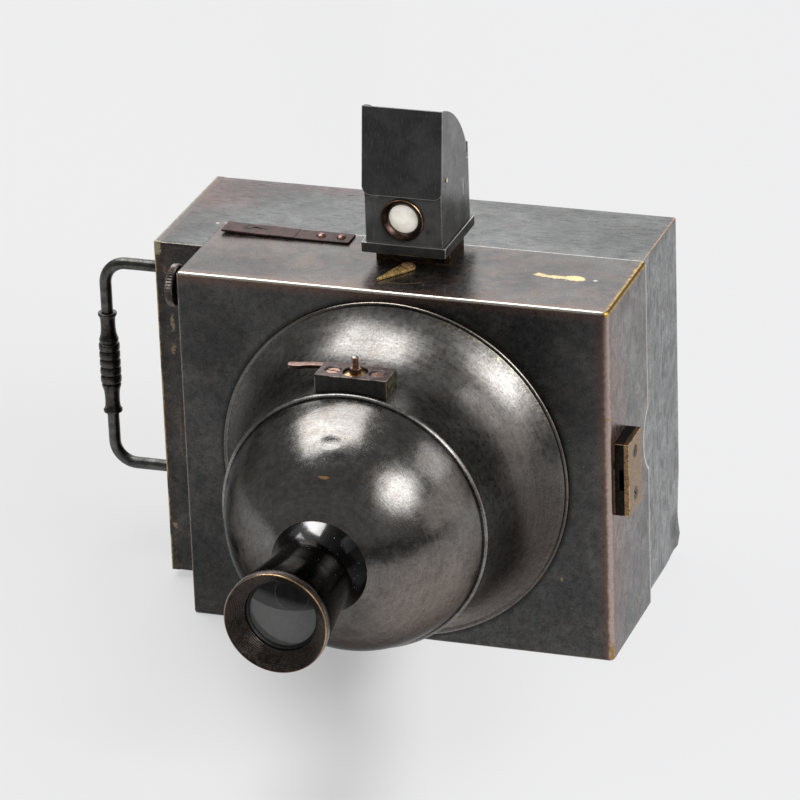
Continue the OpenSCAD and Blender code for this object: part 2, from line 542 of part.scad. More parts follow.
tz0 = mz0 + t + 0.3; tz1 = mz1 - t - 0.3; ty0 = my0 + t + 1.4; ty1 = my1 - t - 0.3;
module drawer_tray() color([0.28, 0.27, 0.25]) difference() {
  box(mag_x0 + cap_t, mx1 - t - 0.4, ty0, ty1, tz0, tz1);
  box(mag_x0 + cap_t - 1, mx1 - t - 1.2, ty0 - 1, ty1 - t, tz0 + t, tz1 - t);
  for (z = [hz0, hz1]) rod_x(3.6, mag_x0 + cap_t - 2, mag_x0 + cap_t - 0.5, hy, z);
}
px = 61; pz = 46;                // half size of a sheath
module plate_guides() color([0.15, 0.15, 0.15]) {
  for (s = [-1, 1]) box(s > 0 ? px + 0.3 : -px - 3.3, s > 0 ? px + 3.3 : -px - 0.3, ty0 + 0.4, ty0 + 46, tz0 + t, tz1 - t);
  for (s = [-40, 40]) box(s - 6, s + 6, ty0 + 0.4, ty0 + 46, tz0 + t, axis_z - pz - 0.05);
}
module plate_sheaths() color([0.12, 0.12, 0.12]) for (i = [0 : plates - 1])
  translate([0, ty0 + 0.8 + i * plate_pitch, axis_z]) difference() {
    box(-px, px, 0, 2, -pz, pz);
    box(-px + 1.2, px - 1.2, -1, 1.6, -pz + 1.2, pz - 1.2);
  }
module glass_plates() color([0.70, 0.74, 0.72]) for (i = [0 : plates - 1])
  translate([0, ty0 + 0.8 + i * plate_pitch, axis_z]) box(-px + 1.3, px - 1.3, 0.1, 1.6, -pz + 1.3, pz - 1.3);
pp_y = ty0 + 0.8 + plates * plate_pitch;
module pressure_plate() color([0.30, 0.28, 0.24]) box(-px, px, pp_y, pp_y + 1, axis_z - pz + 2, axis_z + pz - 2);
// bow springs between the pressure plate and the tray's back
bow_s = ty1 - t - pp_y - 1 - 0.05; bow_c = 44;
bow_r = (bow_c * bow_c + bow_s * bow_s) / (2 * bow_s);
module pressure_springs() color([0.50, 0.48, 0.45]) for (z = [axis_z - 22, axis_z + 14])
  intersection() {
    translate([0, pp_y + 1 + bow_r, z]) difference() {
      cylinder(r = bow_r, h = 8, $fn = 128);
      translate([0, 0, -1]) cylinder(r = bow_r - 0.5, h = 10, $fn = 128);
    }
    box(-bow_c, bow_c, pp_y + 0.9, ty1 - t - 0.02, z - 1, z + 9);
  }

// ------------------------------------------------------------------ handle
hr = handle_rod_d / 2; hx = mag_x0 - handle_out; bend = 8;
module elbow(z, up) translate([hx + bend, hy, z + (up ? -bend : bend)]) rotate([90, 0, 0])
  rotate([0, 0, up ? 90 : 180]) rotate_extrude(angle = 90, $fn = 64) translate([bend, 0]) circle(r = hr, $fn = 32);
module handle_rod() color([0.16, 0.15, 0.15]) union() {
  for (z = [hz0, hz1]) {
    rod_x(hr, hx + bend, mag_x0, hy, z);
    rod_x(1.55, mag_x0 - 1, mag_x0 + cap_t + 2, hy, z);
  }
  elbow(hz1, true);
  elbow(hz0, false);
  rod_z(hr, hz0 + bend, hz1 - bend, hx, hy);
}
grip_l = 38;
function grip_r(s) = let (a = abs(s)) a > 0.47 ? 3.3 : a > 0.24 ? 2.55 + 0.75 * pow(abs((a - 0.24) / 0.23 * 2 - 1), 2) : a > 0.2 ? 3.5 : 3.1;
module handle_grip() color([0.14, 0.13, 0.13]) translate([hx, hy, 65]) difference() {
  union() {
    rotate_extrude() polygon(concat([[0.5, -grip_l / 2]],
      [for (i = [0 : 36]) [grip_r(i / 36 - 0.5), grip_l * (i / 36 - 0.5)]], [[0.5, grip_l / 2]]));
    for (k = [-2 : 2]) translate([0, 0, k * 3.3]) rotate_extrude() translate([grip_d / 2 - 1.1, 0]) circle(r = 1.1, $fn = 32);
  }
  translate([0, 0, -30]) cylinder(r = hr, h = 60);
}
module handle_collars() color([0.30, 0.26, 0.22]) for (z = [hz0, hz1]) difference() {
  rod_x(3.4, mag_x0 + cap_t, mag_x0 + cap_t + 1.8, hy, z);
  rod_x(1.55, mag_x0, mag_x0 + 8, hy, z);
}

body_shell();
channel_frame();
channel_runners();
tripod_bush();
bell();
bell_screws();
lip_ring();
ball_front();
lens_barrel();
lens_hood();
front_lens();
front_lens_ring();
diaphragm_stop();
rear_lens();
rear_lens_ring();
arbor_block();
arbor_block_screws();
shutter_lower_pivot();
shutter_spring();
spring_bracket();
shutter_shell();
shutter_arbor();
shutter_disc();
release_lever();
selector_lever();
selector_screw();
knob();
knob_bush();
catch_root();
catch_leaf();
catch_rivets();
side_shoe();
side_shoe_cover();
side_shoe_screws();
top_shoe();
top_shoe_cover();
top_shoe_screws();
finder_base();
finder_body();
finder_lens_ring();
finder_lens();
finder_mirror();
finder_screen();
finder_hood();
finder_pins();
magazine_case();
drawer_front();
drawer_tray();
plate_guides();
plate_sheaths();
glass_plates();
pressure_plate();
pressure_springs();
handle_rod();
handle_grip();
handle_collars();
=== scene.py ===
# Looks for the metal-bodied plate camera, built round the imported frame.
# Lengths are written in millimetres and turned into metres when a mesh is made.
import bpy
import bmesh
import math
from mathutils import Vector, Matrix, noise


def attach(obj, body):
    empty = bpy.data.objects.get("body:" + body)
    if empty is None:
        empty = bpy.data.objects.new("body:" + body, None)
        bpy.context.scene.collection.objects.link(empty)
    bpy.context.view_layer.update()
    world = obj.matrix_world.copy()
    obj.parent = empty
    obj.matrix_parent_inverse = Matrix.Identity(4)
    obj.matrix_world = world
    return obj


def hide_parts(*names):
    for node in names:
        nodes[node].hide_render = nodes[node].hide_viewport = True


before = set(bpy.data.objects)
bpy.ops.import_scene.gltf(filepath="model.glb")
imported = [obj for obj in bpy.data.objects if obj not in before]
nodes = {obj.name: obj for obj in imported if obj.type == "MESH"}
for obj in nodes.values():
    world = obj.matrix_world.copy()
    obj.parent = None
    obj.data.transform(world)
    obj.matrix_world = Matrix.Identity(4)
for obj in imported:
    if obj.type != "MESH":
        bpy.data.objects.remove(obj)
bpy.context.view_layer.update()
scene = bpy.context.scene
MM = 0.001
AX = 62.6                      # height of the lens axis
YF, YB, YC = -13.0, 32.8, -48.6
LIP = -55.1

# ------------------------------------------------------------------ shaders


class Mat:
    """A small builder for node materials. Coordinates come out in millimetres, in the row frame."""

    def __init__(s, name, metallic=0.0, rough=0.4, spec=0.5, ior=1.5, coat=0.0, coat_rough=0.1):
        s.m = bpy.data.materials.new(name)
        s.m.use_nodes = True
        s.t = s.m.node_tree
        s.t.nodes.clear()
        s.out = s.t.nodes.new("ShaderNodeOutputMaterial")
        s.b = s.t.nodes.new("ShaderNodeBsdfPrincipled")
        s.t.links.new(s.b.outputs[0], s.out.inputs[0])
        s.b.inputs["Metallic"].default_value = metallic
        s.b.inputs["Roughness"].default_value = rough
        s.b.inputs["IOR"].default_value = ior
        s.b.inputs["Specular IOR Level"].default_value = spec
        s.b.inputs["Coat Weight"].default_value = coat
        s.b.inputs["Coat Roughness"].default_value = coat_rough
        tc = s.t.nodes.new("ShaderNodeTexCoord")
        sc = s.t.nodes.new("ShaderNodeVectorMath")
        sc.operation = "SCALE"
        sc.inputs["Scale"].default_value = 1000.0
        s.t.links.new(tc.outputs["Object"], sc.inputs[0])
        s.P = sc.outputs[0]
        sep = s.t.nodes.new("ShaderNodeSeparateXYZ")
        s.t.links.new(s.P, sep.inputs[0])
        s.X, s.Y, s.Z = sep.outputs

    def put(s, sock, v):
        if isinstance(v, bpy.types.NodeSocket):
            s.t.links.new(v, sock)
        elif isinstance(v, (tuple, list)) and len(v) == 3 and sock.type == "RGBA":
            sock.default_value = (*v, 1.0)
        else:
            sock.default_value = v

    def math(s, op, a, b=0.0, c=0.0, clamp=False):
        n = s.t.nodes.new("ShaderNodeMath")
        n.operation = op
        n.use_clamp = clamp
        s.put(n.inputs[0], a)
        s.put(n.inputs[1], b)
        s.put(n.inputs[2], c)
        return n.outputs[0]

    def add(s, a, b):
        return s.math("ADD", a, b)

    def sub(s, a, b):
        return s.math("SUBTRACT", a, b)

    def mul(s, a, b, clamp=False):
        return s.math("MULTIPLY", a, b, clamp=clamp)

    def vec(s, x, y, z):
        n = s.t.nodes.new("ShaderNodeCombineXYZ")
        s.put(n.inputs[0], x)
        s.put(n.inputs[1], y)
        s.put(n.inputs[2], z)
        return n.outputs[0]

    def stretch(s, k, off=(0, 0, 0)):
        n = s.t.nodes.new("ShaderNodeVectorMath")
        n.operation = "MULTIPLY_ADD"
        s.put(n.inputs[0], s.P)
        n.inputs[1].default_value = k
        n.inputs[2].default_value = off
        return n.outputs[0]

    def noise(s, scale, detail=3.0, rough=0.55, dist=0.0, vec=None, off=None):
        n = s.t.nodes.new("ShaderNodeTexNoise")
        n.inputs["Scale"].default_value = scale
        n.inputs["Detail"].default_value = detail
        n.inputs["Roughness"].default_value = rough
        n.inputs["Distortion"].default_value = dist
        if off is not None:
            vec = s.stretch((1, 1, 1), off)
        s.t.links.new(vec if vec is not None else s.P, n.inputs["Vector"])
        return n.outputs[0]

    def voro(s, scale, vec=None, feature="F1"):
        n = s.t.nodes.new("ShaderNodeTexVoronoi")
        n.feature = feature
        n.inputs["Scale"].default_value = scale
        s.t.links.new(vec if vec is not None else s.P, n.inputs["Vector"])
        return n.outputs["Distance"]

    def ramp(s, v, a, b, lo=0.0, hi=1.0):
        n = s.t.nodes.new("ShaderNodeMapRange")
        n.interpolation_type = "SMOOTHSTEP"
        s.put(n.inputs[0], v)
        n.inputs[1].default_value = a
        n.inputs[2].default_value = b
        n.inputs[3].default_value = lo
        n.inputs[4].default_value = hi
        return n.outputs[0]

    def line(s, v, a, b, lo=0.0, hi=1.0):
        n = s.t.nodes.new("ShaderNodeMapRange")
        s.put(n.inputs[0], v)
        n.inputs[1].default_value = a
        n.inputs[2].default_value = b
        n.inputs[3].default_value = lo
        n.inputs[4].default_value = hi
        return n.outputs[0]

    def mix(s, f, a, b):
        n = s.t.nodes.new("ShaderNodeMix")
        n.data_type = "RGBA"
        s.put(n.inputs[0], f)
        s.put(n.inputs[6], a)
        s.put(n.inputs[7], b)
        return n.outputs[2]

    def mixf(s, f, a, b):
        n = s.t.nodes.new("ShaderNodeMix")
        n.data_type = "FLOAT"
        s.put(n.inputs[0], f)
        s.put(n.inputs[2], a)
        s.put(n.inputs[3], b)
        return n.outputs[0]

    def tone(s, col, k):
        """Colour times a number."""
        n = s.t.nodes.new("ShaderNodeVectorMath")
        n.operation = "SCALE"
        s.put(n.inputs[0], col)
        s.put(n.inputs["Scale"], k)
        return n.outputs[0]

    def bump(s, h, strength, dist=0.0001, normal=None):
        n = s.t.nodes.new("ShaderNodeBump")
        n.inputs["Strength"].default_value = strength
        n.inputs["Distance"].default_value = dist
        s.put(n.inputs["Height"], h)
        if normal is not None:
            s.t.links.new(normal, n.inputs["Normal"])
        return n.outputs[0]

    def edge(s, axis, u, v):
        """Distance in mm from an edge that runs along axis, at (u, v) in the other two axes."""
        a, b = {"x": (s.Y, s.Z), "y": (s.X, s.Z), "z": (s.X, s.Y)}[axis]
        return s.math("MAXIMUM", s.math("ABSOLUTE", s.sub(a, u)), s.math("ABSOLUTE", s.sub(b, v)))

    def boxdist(s, b):
        """Distance in mm from the nearest edge of a box (x0, x1, y0, y1, z0, z1)."""
        def near(q, lo, hi):
            return s.math("MINIMUM", s.math("ABSOLUTE", s.sub(q, lo)), s.math("ABSOLUTE", s.sub(q, hi)))
        dx, dy, dz = near(s.X, b[0], b[1]), near(s.Y, b[2], b[3]), near(s.Z, b[4], b[5])
        return s.math("MAXIMUM", s.math("MINIMUM", dx, dy),
                      s.math("MINIMUM", s.math("MAXIMUM", dx, dy), dz))

    def spot(s, c, r):
        """0 at the centre of an ellipsoid c, 1 on its surface, more outside."""
        n = s.t.nodes.new("ShaderNodeVectorMath")
        n.operation = "MULTIPLY_ADD"
        s.put(n.inputs[0], s.P)
        n.inputs[1].default_value = (1 / r[0], 1 / r[1], 1 / r[2])
        n.inputs[2].default_value = (-c[0] / r[0], -c[1] / r[1], -c[2] / r[2])
        l = s.t.nodes.new("ShaderNodeVectorMath")
        l.operation = "LENGTH"
        s.t.links.new(n.outputs[0], l.inputs[0])
        return l.outputs["Value"]

    def done(s, color=None, metallic=None, rough=None, normal=None):
        if color is not None:
            s.put(s.b.inputs["Base Color"], color)
        if metallic is not None:
            s.put(s.b.inputs["Metallic"], metallic)
        if rough is not None:
            s.put(s.b.inputs["Roughness"], rough)
        if normal is not None:
            s.t.links.new(normal, s.b.inputs["Normal"])
        return s.m


GOLD = (0.62, 0.36, 0.10)
BRASS = (0.52, 0.36, 0.17)
PALE = (0.62, 0.55, 0.44)
SILVER = (0.72, 0.69, 0.64)
COPPER = (0.50, 0.30, 0.20)
OLIVE = (0.42, 0.40, 0.22)


def lacquer(name, faces, cloud=0.05, rough=(0.24, 0.36), grain=0.05, edges=(), patches=(), zones=(), fringes=(),
            speck=0.5, streaks=(), wave=0.0, metal=0.75, marks=(), shades=(), tints=()):
    """Blackened brass under old lacquer: cloudy, grained, speckled, worn to metal along its edges.
    faces: (mask maker, dark, light, brown, amount of brown); the first has no mask; later sets make whole faces such as
    the top or the right wall lighter: painted light.
    edges: (distance maker, width, colour, amount, seed, ragged); patches: (centre, radii, threshold, colour, ragged);
    zones: (centre, radii, factor); fringes: (distance maker, width, colour, amount); streaks: (mask maker, stretch,
    depth)."""
    g = Mat(name, metallic=metal, rough=rough[0])
    n1 = g.noise(cloud, 5, 0.62, 0.5)
    n2 = g.noise(cloud * 2.6, 5, 0.68, 0.8, off=(31, 7, 13))
    mid = g.noise(0.42, 5, 0.72, off=(1, 30, 4))
    fine = g.noise(1.7, 3, 0.75)
    c1, c2 = g.ramp(n1, 0.36, 0.66), g.ramp(n2, 0.44, 0.66)
    col = None
    # each later colour set lightens a whole face: painted light by face
    for mk, dark, light, brown, amt in faces:
        c = g.mix(g.mul(c2, amt), g.mix(c1, dark, light), brown)
        col = c if col is None else g.mix(mk(g), col, c)
    k = g.add(g.ramp(mid, 0.33, 0.67, 0.74, 1.27), g.ramp(fine, 0.30, 0.70, -0.30, 0.30))
    blot = g.noise(0.16, 5, 0.80, 0.7, off=(2, 5, 9))
    wall = g.ramp(g.X, 72.6, 73.2)
    k = g.mul(k, g.mixf(wall, g.ramp(blot, 0.36, 0.64, 0.85, 1.17), g.ramp(blot, 0.36, 0.64, 0.68, 1.34)))
    for c, r, colour, amount in tints:
        e = g.add(g.spot(c, r), g.mul(g.sub(n2, 0.5), 1.6))
        col = g.mix(g.mul(g.ramp(e, 1.15, 0.45), amount), col, colour)
    # painted shade: each mask darkens the tone by its factor
    for mk, f in shades:
        k = g.mul(k, g.mixf(mk(g), 1.0, f))
    # each zone darkens a region of the surface by its factor: painted shade and painted dark reflections of nearby
    # parts
    for c, r, f in zones:
        e = g.add(g.spot(c, r), g.mul(g.sub(n2, 0.5), 1.1))
        k = g.mul(k, g.ramp(e, 0.25, 1.15, f, 1.0))
    # hairline scuffs that run slantwise
    sl = g.vec(g.mul(g.add(g.X, g.Z), 2.6), g.mul(g.Y, 0.6), g.mul(g.sub(g.X, g.Z), 0.10))
    scuff = g.mul(g.ramp(g.noise(1.0, 2, 0.6, vec=sl), 0.66, 0.76), g.ramp(n2, 0.50, 0.62))
    k = g.add(k, g.mul(scuff, 0.9))
    rgh = g.ramp(mid, 0.3, 0.72, rough[0], rough[1])
    rgh = g.add(rgh, g.mul(g.sub(fine, 0.5), 0.10))
    rgh = g.add(rgh, g.mul(g.mul(g.sub(0.5, blot), wall), 0.25))
    height = fine
    for mk, st, depth in streaks:
        br = g.noise(1.0, 4, 0.72, vec=g.stretch(st))
        m = mk(g) if mk else 1.0
        dash = g.mul(g.ramp(br, 0.455, 0.36), m)
        k = g.mul(k, g.sub(1.0, g.mul(dash, 0.70 * depth)))
        k = g.add(k, g.mul(g.mul(g.ramp(br, 0.54, 0.70), m), 0.45 * depth))
        rgh = g.add(rgh, g.mul(dash, 0.30 * depth))
        height = g.add(height, g.mul(g.mul(br, m), 1.6 * depth))
    col = g.tone(col, k)
    sp = g.ramp(g.noise(1.25, 2, 0.5, off=(5, 17, 3)), 0.700, 0.750)
    sp = g.mul(sp, g.mul(g.ramp(g.noise(0.07, 3, 0.6, off=(9, 1, 2)), 0.40, 0.60), speck))
    metalv = g.add(metal, g.mul(sp, 1.0 - metal))
    col = g.mix(sp, col, (0.45, 0.41, 0.35))
    jag = g.noise(0.55, 4, 0.7, off=(2, 8, 21))
    jagf = g.noise(2.6, 3, 0.7, off=(12, 3, 1))
    for mk, width, colour, amount in fringes:
        d = mk(g)
        m = g.mul(g.ramp(d, width, width * 0.2), g.ramp(g.add(g.mul(mid, 0.5), g.mul(jagf, 0.5)), 0.60 - 0.2 * amount, 0.70 - 0.2 * amount))
        col = g.mix(g.mul(m, 0.8), col, colour)
    for mk, width, colour, amount, seed, ragged in edges:
        d = mk(g)
        d = g.add(d, g.mul(g.sub(jag, 0.5), width * 1.5 * ragged))
        d = g.add(d, g.mul(g.sub(jagf, 0.5), width * 0.9 * ragged))
        w = g.ramp(d, width, width * 0.45)
        keep = g.ramp(g.noise(0.10, 3, 0.6, off=(seed, seed * 2, 5)), 0.62 - amount * 0.45, 0.74 - amount * 0.45)
        w = g.mul(w, keep)
        shade = g.mix(g.ramp(jagf, 0.35, 0.7), tuple(c * 0.6 for c in colour), colour)
        col = g.mix(w, col, shade)
        metalv = g.math("MAXIMUM", metalv, w)
        rgh = g.mixf(w, rgh, 0.30)
    for c, r, th, colour, ragged in patches:
        e = g.spot(c, r)
        v = g.add(e, g.mul(g.sub(g.noise(0.5, 5, 0.75, 1.5, off=(c[0], 3, c[1])), 0.5), 3.2 * ragged))
        w = g.ramp(v, th, th - 0.18)
        col = g.mix(w, col, g.mix(g.ramp(jagf, 0.35, 0.65), tuple(q * 0.5 for q in colour), colour))
        metalv = g.math("MAXIMUM", metalv, w)
        rgh = g.mixf(w, rgh, 0.34)
    for mk, colour in marks:
        w = mk(g)
        col = g.mix(w, col, colour)
        metalv = g.math("MAXIMUM", metalv, w)
    normal = g.bump(height, grain, 0.0002)
    if wave:
        normal = g.bump(g.noise(0.03, 1, 0.3, off=(6, 2, 7)), wave, 0.004, normal)
    return g.done(col, metalv, rgh, normal)


def above(axis, a, b):
    return lambda g: g.ramp({"x": g.X, "y": g.Y, "z": g.Z}[axis], a, b)


def both(m1, m2):
    return lambda g: g.mul(m1(g), m2(g))


def corner(axis, u, v):
    return lambda g: g.edge(axis, u, v)


def arc_mark(cx, cy, r, width, a0, a1, z=126.4):
    """A thin scratch on the top, r from (cx, cy), between two directions in degrees."""
    def mk(g):
        x, y = g.sub(g.X, cx), g.sub(g.Y, cy)
        d = g.math("ABSOLUTE", g.sub(g.math("SQRT", g.add(g.mul(x, x), g.mul(y, y))), r))
        d = g.add(d, g.mul(g.sub(g.noise(1.1, 3, 0.7), 0.5), width))
        an = g.math("ARCTAN2", y, x)
        w = g.mul(g.ramp(an, math.radians(a0 - 2), math.radians(a0 + 2)), g.ramp(an, math.radians(a1 + 2), math.radians(a1 - 2)))
        w = g.mul(w, g.ramp(g.noise(0.8, 3, 0.7, off=(1, 5, 2)), 0.36, 0.50))
        return g.mul(g.mul(g.ramp(d, width, width * 0.3), w), g.ramp(g.Z, z - 0.2, z))
    return mk


def line_mark(x0, y0, x1, y1, width, z=126.4, keep=0.42):
    """A straight scratch on the top."""
    def mk(g):
        l = math.hypot(x1 - x0, y1 - y0)
        u, v = (x1 - x0) / l, (y1 - y0) / l
        x, y = g.sub(g.X, x0), g.sub(g.Y, y0)
        along = g.add(g.mul(x, u), g.mul(y, v))
        off = g.math("ABSOLUTE", g.sub(g.mul(x, v), g.mul(y, u)))
        w = g.mul(g.ramp(along, -0.3, 0.3), g.ramp(along, l + 0.3, l - 0.3))
        w = g.mul(w, g.ramp(g.noise(0.7, 3, 0.7, off=(4, 1, 7)), keep, keep + 0.12))
        return g.mul(g.mul(g.ramp(off, width, width * 0.3), w), g.ramp(g.Z, z - 0.2, z))
    return mk


def notch_line(width):
    """The worn edge of the thumb notch in the right wall."""
    def mk(g):
        y, z = g.sub(g.Y, YB + 8.4), g.sub(g.Z, 62.8)
        d = g.sub(g.math("SQRT", g.add(g.mul(y, y), g.mul(z, z))), 14.0)
        d = g.add(d, g.mul(g.sub(g.noise(0.8, 3, 0.7), 0.5), width * 0.6))
        return g.mul(g.mul(g.ramp(d, width, width * 0.4), g.ramp(g.X, 74.6, 74.9)), 0.9)
    return mk


def bell_foot_shade(r0, r1):
    """Painted shade on the front face close round the foot of the bell."""
    def mk(g):
        zz = g.sub(g.Z, AX)
        rad = g.math("SQRT", g.add(g.mul(g.X, g.X), g.mul(zz, zz)))
        return g.mul(g.ramp(rad, r1, r0), g.ramp(g.Y, YF + 0.3, YF + 0.1))
    return mk


PINK = (0.56, 0.44, 0.39)
M = {}
body_edges = [
    (corner("x", YF, 126.7), 1.35, BRASS, 0.85, 3, 0.5),
    (corner("x", YF, 126.7), 1.18, SILVER, 1.5, 4, 0.22),
    (corner("y", 75, 126.7), 2.3, (0.15, 0.095, 0.03), 1.4, 5, 0.6),
    (corner("y", 75, 126.7), 1.7, (0.55, 0.33, 0.09), 0.85, 6, 1.3),
    (corner("y", -75, 126.7), 0.55, PALE, 0.9, 8, 0.6),
    (corner("z", 75, YF), 3.1, (0.19, 0.12, 0.095), 1.3, 10, 0.8),
    (corner("z", 75, YF), 2.1, PINK, 1.4, 11, 0.6),
    (corner("z", -75, YF), 0.55, COPPER, 0.8, 14, 0.8),
    (corner("x", YF, 0), 0.6, BRASS, 0.45, 15, 0.9),
    (corner("y", 75, 0), 0.8, GOLD, 0.75, 16, 0.9),
    (corner("x", YB, 126.7), 0.42, SILVER, 1.2, 19, 0.4),
    (corner("z", 75, YB), 1.25, (0.62, 0.57, 0.53), 1.4, 20, 0.25),
]
M["body"] = lacquer(
    "black_lacquer",
    [(None, (0.050, 0.0505, 0.050), (0.076, 0.075, 0.0735), (0.080, 0.068, 0.061), 0.40),
     # the top and right-wall sets are lighter than the front: painted light on those faces
     (above("z", 125.9, 126.5), (0.040, 0.038, 0.0375), (0.096, 0.089, 0.086), (0.100, 0.068, 0.056), 0.90),
     (above("x", 74.2, 74.8), (0.074, 0.072, 0.072), (0.140, 0.130, 0.127), (0.120, 0.094, 0.086), 0.80)],
    rough=(0.24, 0.36), edges=body_edges, wave=0.10, speck=0.6, streaks=[(above("x", 74.2, 74.8), (1.1, 1.1, 0.20), 0.3)],
    # darker regions on the top and front: painted shade, and on the top the painted dark reflection of the finder
    zones=[((-58, -2, 126.7), (34, 17, 4), 0.45), ((-8, 10, 126.7), (34, 24, 4), 0.80), ((38, YF, 96), (42, 6, 34), 0.72),
           ((-60, YF, 100), (16, 6, 24), 0.75), ((-66, YF, 20), (26, 6, 44), 0.60), ((50, YF, 14), (40, 6, 18), 0.80), ((52, 22, 126.7), (34, 20, 4), 0.66), ((75, 8, 18), (4, 30, 30), 0.80)],
    # painted shade round the foot of the bell
    shades=[(bell_foot_shade(60.6, 62.8), 0.30)],
    marks=[(arc_mark(-0.3, 7.8, 12.8, 0.30, -105, -53), (0.62, 0.40, 0.24)), (line_mark(15.4, -0.1, 19.0, -11.6, 0.16, keep=0.46), (0.30, 0.27, 0.25)),
           (line_mark(8.9, -4.5, 9.4, -4.2, 0.35, keep=0.0), (0.75, 0.72, 0.68)), (line_mark(4.4, -3.4, 8.2, -2.6, 0.14, keep=0.40), (0.5, 0.34, 0.22)),
           (notch_line(1.3), (0.62, 0.57, 0.53))],
    fringes=[(corner("x", YF, 126.7), 5.0, (0.150, 0.090, 0.072), 1.0), (corner("z", 75, YF), 6.0, (0.120, 0.072, 0.058), 1.0),
             (corner("x", YF, 0), 3.5, (0.070, 0.050, 0.040), 0.5)],
    tints=[((75, -8, 66), (3, 16, 80), (0.170, 0.112, 0.096), 0.75), ((-62, 20, 126.7), (26, 18, 3), (0.088, 0.060, 0.052), 0.5),
           ((-40, -6, 126.7), (40, 7, 3), (0.095, 0.074, 0.062), 0.45), ((75, 8, 122), (3, 6, 5), (0.055, 0.035, 0.025), 0.7)],
    patches=[((56.2, 13.0, 126.7), (4.4, 2.5, 1.5), 0.90, (0.84, 0.66, 0.33), 0.5),
             ((49.6, 12.8, 126.7), (6.0, 1.6, 1.5), 0.86, (0.80, 0.62, 0.32), 0.75),
             ((43.9, 13.7, 126.7), (2.4, 1.7, 1.5), 0.72, (0.78, 0.60, 0.30), 0.8),
             ((63.4, 12.6, 126.7), (1.0, 0.45, 1.5), 0.90, (0.85, 0.85, 0.82), 0.3),
             ((75, YF, 88.6), (1.6, 1.6, 0.8), 0.90, GOLD, 0.3), ((74.6, YF + 0.4, 3.5), (1.8, 1.8, 4.5), 0.75, (0.50, 0.29, 0.11), 0.7),
             ((57.4, YF, 28.9), (1.0, 0.6, 1.4), 0.55, (0.34, 0.27, 0.12), 0.6),
             ((75, YF, 126.0), (1.8, 2.2, 1.8), 0.90, (0.85, 0.55, 0.12), 0.4)])
MAGB = (-92.7, 73.5, 13.2, 75.8, 2.6, 125.8)
WORN = [((-87.4, 13.2, 96.5), (1.2, 1.5, 5.5), 0.55, (0.27, 0.22, 0.15), 0.9),
        ((-87.7, 13.2, 86.5), (1.5, 1.5, 2.8), 0.60, (0.27, 0.19, 0.12), 0.9),
        ((-86.6, 13.2, 58.0), (0.6, 1.5, 20.0), 0.55, (0.16, 0.11, 0.08), 0.9),
        ((-90.6, 13.2, 19.7), (1.3, 1.5, 1.8), 0.70, (0.28, 0.21, 0.13), 0.8),
        ((-89.4, 13.2, 116.0), (1.6, 1.5, 4.0), 0.60, (0.18, 0.11, 0.08), 0.8)]
TOPTINT = [((-90, 62, 125.8), (26, 20, 3), (0.088, 0.042, 0.038), 0.95), ((-60, 74, 125.8), (34, 8, 3), (0.085, 0.050, 0.046), 0.8),
           ((-91, 36, 125.8), (5, 30, 3), (0.080, 0.062, 0.050), 0.7)]
M["mag"] = lacquer(
    "magazine_lacquer",
    [(None, (0.032, 0.032, 0.031), (0.056, 0.054, 0.051), (0.074, 0.056, 0.046), 0.5),
     # the top and right-wall sets are lighter than the front: painted light on those faces
     (above("z", 125.0, 125.6), (0.056, 0.058, 0.059), (0.108, 0.111, 0.112), (0.090, 0.078, 0.074), 0.45),
     (above("x", 72.8, 73.3), (0.110, 0.114, 0.116), (0.185, 0.190, 0.191), (0.155, 0.147, 0.142), 0.5)],
    rough=(0.24, 0.36), wave=0.10, speck=0.4,
    streaks=[(above("z", 125.0, 125.6), (0.14, 2.1, 2.1), 0.65), (above("x", 72.8, 73.3), (1.6, 1.6, 0.10), 0.7)],
    # darker regions of the top: painted shade
    zones=[((-70, 66, 125.8), (30, 16, 4), 0.42), ((-88, 30, 125.8), (12, 30, 4), 0.55), ((10, 74, 125.8), (60, 9, 4), 0.70),
           ((58, 56, 125.8), (40, 26, 4), 0.60)],
    marks=[(line_mark(61.3, 46.8, 64.0, 37.4, 0.18, z=125.5), (0.03, 0.03, 0.03)), (line_mark(-77.6, 33.8, -76.8, 34.2, 0.5, z=125.5, keep=0.0), (0.80, 0.68, 0.36))],
    edges=[(corner("x", 13.2, 125.8), 0.42, (0.50, 0.44, 0.36), 0.9, 5, 0.6), (corner("y", 73.5, 125.8), 0.55, COPPER, 1.2, 7, 0.9),
           (corner("x", 75.8, 125.8), 0.35, PALE, 0.6, 9, 0.7), (corner("z", 73.5, 75.8), 0.4, PALE, 0.5, 10, 0.7)],
    tints=TOPTINT, patches=WORN)
M["drawer"] = lacquer(
    "drawer_lacquer",
    [(None, (0.026, 0.025, 0.023), (0.055, 0.051, 0.045), (0.075, 0.050, 0.038), 0.7),
     # the top set is lighter than the sides: painted light on the top
     (above("z", 125.0, 125.6), (0.040, 0.036, 0.034), (0.085, 0.078, 0.070), (0.085, 0.062, 0.050), 0.7)],
    rough=(0.26, 0.38), speck=0.5,
    edges=[(corner("x", 13.2, 125.8), 0.4, (0.48, 0.42, 0.34), 0.8, 5, 0.6), (corner("y", -92.7, 125.8), 0.9, (0.30, 0.27, 0.20), 0.8, 7, 1.0),
           (corner("z", -92.7, 13.2), 0.6, BRASS, 0.55, 9, 0.9)],
    tints=TOPTINT, patches=WORN + [((-92, 13.6, 123.5), (2.6, 2.2, 3.5), 0.75, (0.42, 0.38, 0.24), 0.9)])


